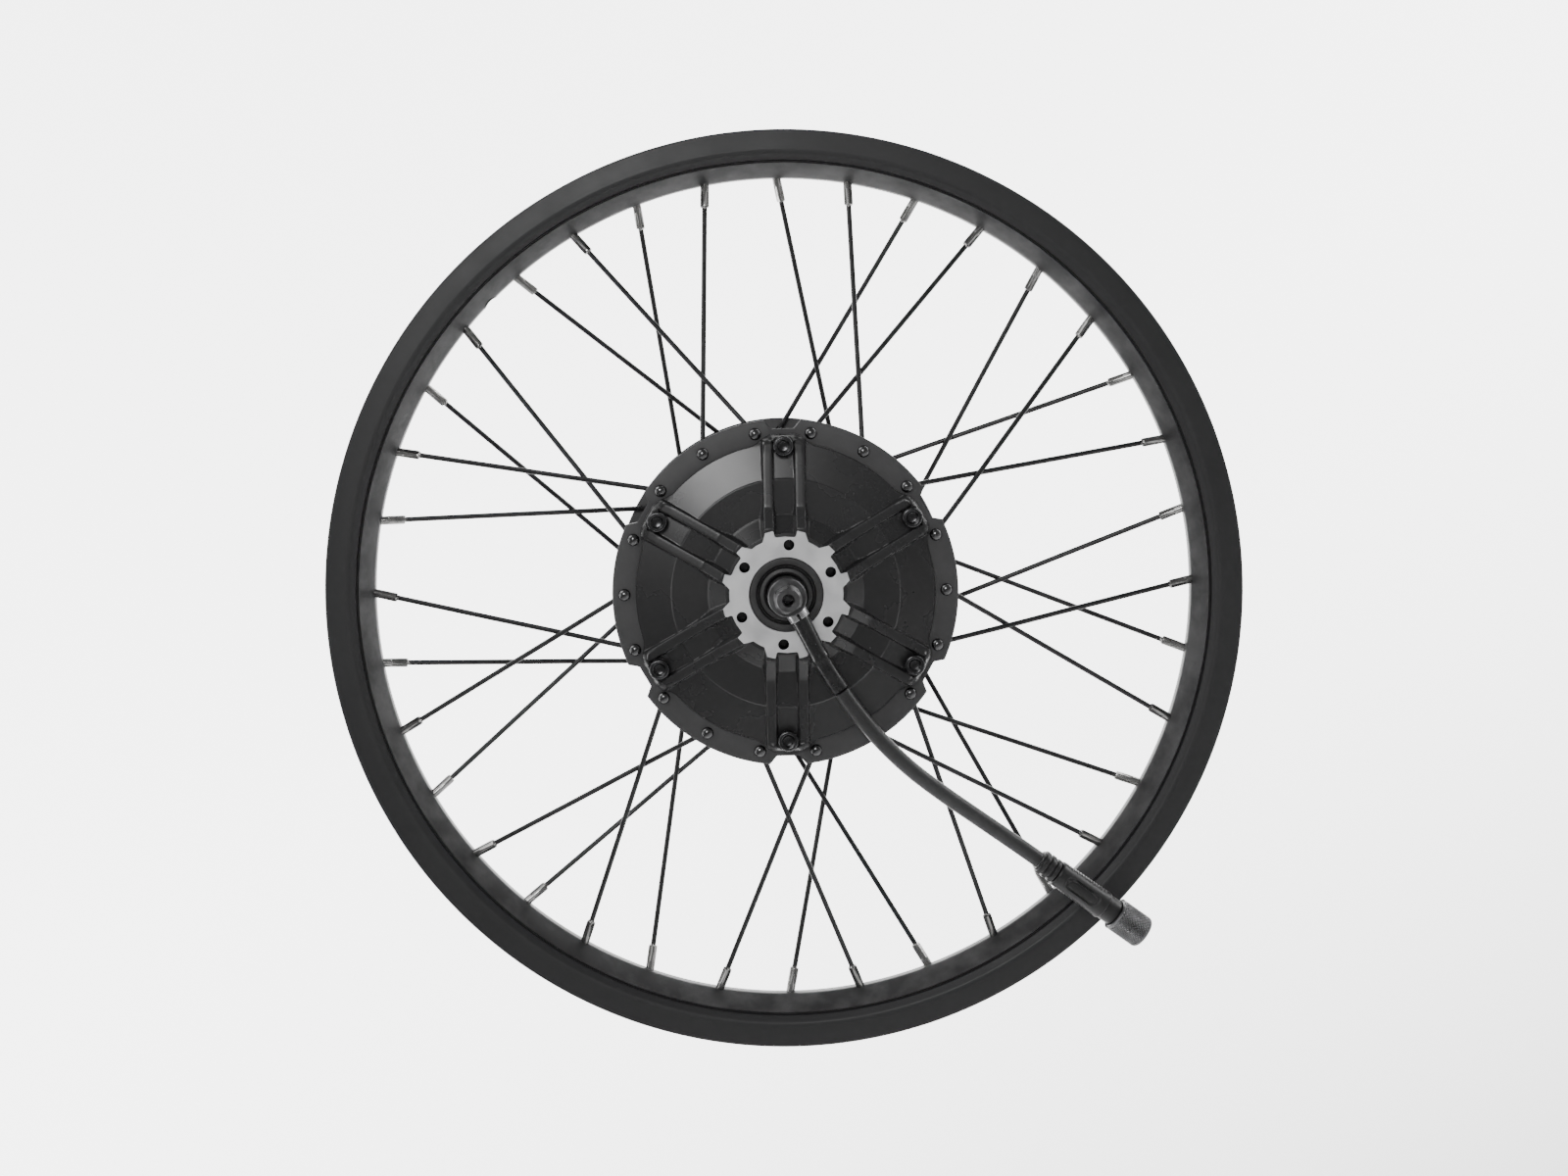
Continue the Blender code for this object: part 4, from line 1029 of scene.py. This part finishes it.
def build_plug(mats, place):
    """The moulded grip: an oval panel each side, fine cross ribs between, then a collar."""
    low, high, tip = PLUG_LOW, PLUG_HIGH, PLUG_TIP
    centre = (low + high) / 2
    heights = list(np.linspace(low, low + 1.2, 6)) + list(np.arange(low + 1.3, high - 0.9, 0.2))
    heights += list(np.linspace(high - 0.8, high, 6))
    heights += [high + 0.05, tip - 0.2, tip, tip + 0.01, CONNECTOR_END - 4.2]

    def radius_at(angles, w):
        if w > high:
            return (COLLAR_R if w <= tip else SPIGOT_R) + 0 * angles
        ends = min((w - low) / 1.2, (high - w) / 0.8, 1.0)
        radius = PLUG_ROOT_R + 0.6 * (w - low) / (high - low) + 0 * angles
        radius -= 0.9 * (1 - math.sqrt(max(0.0, 1 - (1 - ends) ** 2)))
        across = np.abs(np.cos(angles)) * 6.3
        oval = ((w - centre) / 8.6) ** 4 + (across / 3.0) ** 4
        inner = ((w - centre) / 7.8) ** 4 + (across / 2.2) ** 4
        panel = np.clip((1.15 - oval) / 0.3, 0, 1) - 0.8 * np.clip((1.1 - inner) / 0.3, 0, 1)
        grip = (np.abs(np.sin(angles)) < 0.5) & (low + 3 < w < high - 2.5)
        serration = 0.36 * (0.5 + 0.5 * math.sin(w * TAU / 1.4))
        return radius - 0.6 * panel - np.where(grip, serration, 0)

    body = rod("connector_grip", heights, radius_at, 96, place, sharp=60)
    centres = [polar(PIN_CIRCLE, 45 * k) for k in range(8)] + [Vector((0, 0, 0))]
    cut(body, *[cylinder(f"pin_drill_{k}", PIN_R, CONNECTOR_END - 6.5, CONNECTOR_END - 3.5, 12,
                         place @ Matrix.Translation(centre)) for k, centre in enumerate(centres)])
    shade(body, 50)
    finish_piece(body, mats["plastic"], "axle", "connector_body")
    return body


def build_nut(mats, place):
    """A diamond-knurled ring with a plain rim at its inner end and a rounded mouth."""
    low, high, knurls = PLUG_TIP + 0.3, CONNECTOR_END, 30
    heights = [low, low + 0.2, low + 0.9, low + 1.1]
    heights += list(np.arange(low + 1.3, high - 1.4, 0.16))
    heights += [high - 1.2, high - 0.6, high - 0.2, high]

    def radius_at(angles, w):
        if w < low + 1.0:
            return KNURL_R - 0.25 * (w < low + 0.1) + 0 * angles
        end = max(0.0, (w - (high - 1.2)) / 1.2)
        radius = KNURL_R - 0.75 * end ** 2
        if not low + 1.2 < w < high - 1.3:
            return radius - 0.1 + 0 * angles
        lean = (w - low) * knurls / 7.5
        first = np.abs(np.sin((angles * knurls + lean) / 2))
        second = np.abs(np.sin((angles * knurls - lean) / 2))
        return radius - 0.42 + 0.42 * np.minimum(first, second)

    nut = rod("knurled_nut", heights, radius_at, 8 * knurls, place, sharp=45)
    cut(nut, cylinder("nut_bore", SPIGOT_R + 0.5, low - 1, high + 1, 64, place))
    shade(nut, 45)
    finish_piece(nut, mats["gun"], "connector_nut", "connector_nut")
    return nut


def build_exit_ferrule(mats):
    """The bright collar round the root of the boot, slit towards the axle's tip."""
    place = Matrix.Translation((0, 0, CABLE_ROUTE[0][2])) @ Matrix.Rotation(math.pi / 2, 4, "X")
    ring = lathe("cable_exit_collar", fillet([
        (4.2, 11.4, 0.1), (4.75, 11.4, 0.25), (4.85, 6.0, 0.1), (4.2, 6.0, 0.1)], 0.1), 64,
        place=place)
    slot = plate("collar_slot", [[(-0.6, 0), (0.6, 0), (0.6, 8), (-0.6, 8)]], 5.5, 12.5, 0.01,
                 place)
    cut(ring, slot)
    finish_piece(ring, mats["bright"], "axle", "axle")


# ---- inner parts keep their CAD shape

INNER_FINISH = {
    "bright": ["disc_side_bearing", "drive_side_bearing", "rotor_bearing", "one_way_clutch",
               "planet_pin_1", "planet_pin_2", "planet_pin_3", "sun_gear"],
    "nylon": ["planet_gear_1", "planet_gear_2", "planet_gear_3"],
    "grey": ["ring_gear", "planet_carrier", "rotor_can", "stator_core"],
    "machined": ["stator_hub"],
    "copper": ["stator_winding"],
    "magnet": ["magnet_ring"],
    "board": ["hall_sensor_board"],
}


def finish_inner_parts(mats):
    for finish, nodes in INNER_FINISH.items():
        for node in nodes:
            for material_slot in frame["nodes"][node].material_slots:
                material_slot.material = mats[finish]


# ---- camera, light, floor

CAMERA_DISTANCE = 1.060
CAMERA_SIDE = 0.0192
CAMERA_RISE = 0.0912
ROLL = math.radians(31.0)
LENS = 52.43
SENSOR = 36.0
BACKDROP_GLOW = 3.8


def build_camera():
    """Square on to the wheel from a little above the axle; the lens shift centres the rim."""
    data = bpy.data.cameras.new("camera")
    data.sensor_width = SENSOR
    data.lens = LENS
    data.clip_start = 0.05
    camera = add_object("camera", data)
    camera.location = (CAMERA_SIDE, -CAMERA_DISTANCE, CAMERA_RISE)
    back = Vector((0, -1, 0))
    up = Vector((math.sin(ROLL), 0, math.cos(ROLL)))
    right = up.cross(back)
    camera.rotation_euler = Matrix((right, up, back)).transposed().to_euler()
    to_rim = Vector((-CAMERA_SIDE, CAMERA_DISTANCE - RIM_HALF * MM, -CAMERA_RISE))
    data.shift_x = LENS / SENSOR * to_rim.dot(right) / to_rim.y
    data.shift_y = LENS / SENSOR * to_rim.dot(up) / to_rim.y
    bpy.context.scene.camera = camera


def area_light(name, place, aim, size, radiance):
    """A one-sided panel whose brightness is given per square metre and steradian."""
    data = bpy.data.lights.new(name, "AREA")
    data.shape = "RECTANGLE"
    data.size, data.size_y = size
    data.energy = radiance * math.pi * size[0] * size[1]
    lamp = add_object(name, data)
    lamp.location = place
    lamp.rotation_euler = (Vector(aim) - Vector(place)).to_track_quat("-Z", "Y").to_euler()


def build_stage():
    """A pale floor that curves up into a lit wall behind the wheel."""
    floor_z, wall_y, bend, front, top = -0.9, 1.6, 0.8, -4.0, 4.0
    profile = [(front, floor_z)]
    for k in range(17):
        angle = math.pi / 2 * k / 16
        profile.append((wall_y - bend + bend * math.sin(angle),
                        floor_z + bend * (1 - math.cos(angle))))
    profile.append((wall_y, top))
    points = [(x, y, z) for y, z in profile for x in (-5.0, 5.0)]
    faces = [[2 * k, 2 * k + 2, 2 * k + 3, 2 * k + 1] for k in range(len(profile) - 1)]
    mesh = bpy.data.meshes.new("floor")
    mesh.from_pydata(points, [], faces)
    mesh.shade_smooth()
    floor = add_object("floor", mesh)
    shader = Shader("floor_paper", (0.90, 0.90, 0.90), 0.9)
    shader.vary_color((0.88, 0.88, 0.88), 3)
    glow = shader.spread(shader.axle_radius(), BACKDROP_GLOW, 0, 1.2, 1.7)
    split = shader.node("ShaderNodeSeparateXYZ")
    shader.link(shader.coords, split.inputs[0])
    depth = shader.spread(split.outputs["Y"], 0, 1, wall_y - bend, wall_y)
    shader.principled.inputs["Emission Color"].default_value = (1, 1, 1, 1)
    shader.link(shader.math("MULTIPLY", glow, depth),
                shader.principled.inputs["Emission Strength"])
    floor.data.materials.append(shader.material)


def build_light():
    """A dim room, a key panel above the camera, soft panels at the sides, and a lit backdrop."""
    world = bpy.data.worlds.new("studio")
    world.use_nodes = True
    background = world.node_tree.nodes["Background"]
    background.inputs["Color"].default_value = (1, 1, 1, 1)
    background.inputs["Strength"].default_value = 0.27
    bpy.context.scene.world = world
    area_light("key", (0.0, -1.55, 0.57), (0, 0, 0), (0.40, 0.34), 17.0)
    area_light("overhead", (-0.5, -0.5, 1.7), (0, 0, 0), (1.6, 1.0), 3.0)
    area_light("left", (-1.7, -0.8, 1.0), (0, 0, 0), (0.9, 1.4), 1.6)
    area_light("right", (1.9, -0.6, -0.1), (0, 0, 0), (0.6, 1.2), 0.7)
    for x in (-1, 1):
        area_light("backdrop_side", (1.9 * x, 0.35, 0.6), (0.3 * x, 1.6, 0.2), (0.8, 1.8), 9.0)


# ---- build

build_camera()
materials = make_materials()
cable, boot, cable_exit, cable_length = build_cable(materials)
relief, plug, nut = build_connector(materials)
build_rim(materials)
build_spokes(materials)
build_shell(materials)
build_cover(materials)
build_bolts(materials)
build_axle(materials)
build_exit_ferrule(materials)
finish_inner_parts(materials)
build_stage()
build_light()
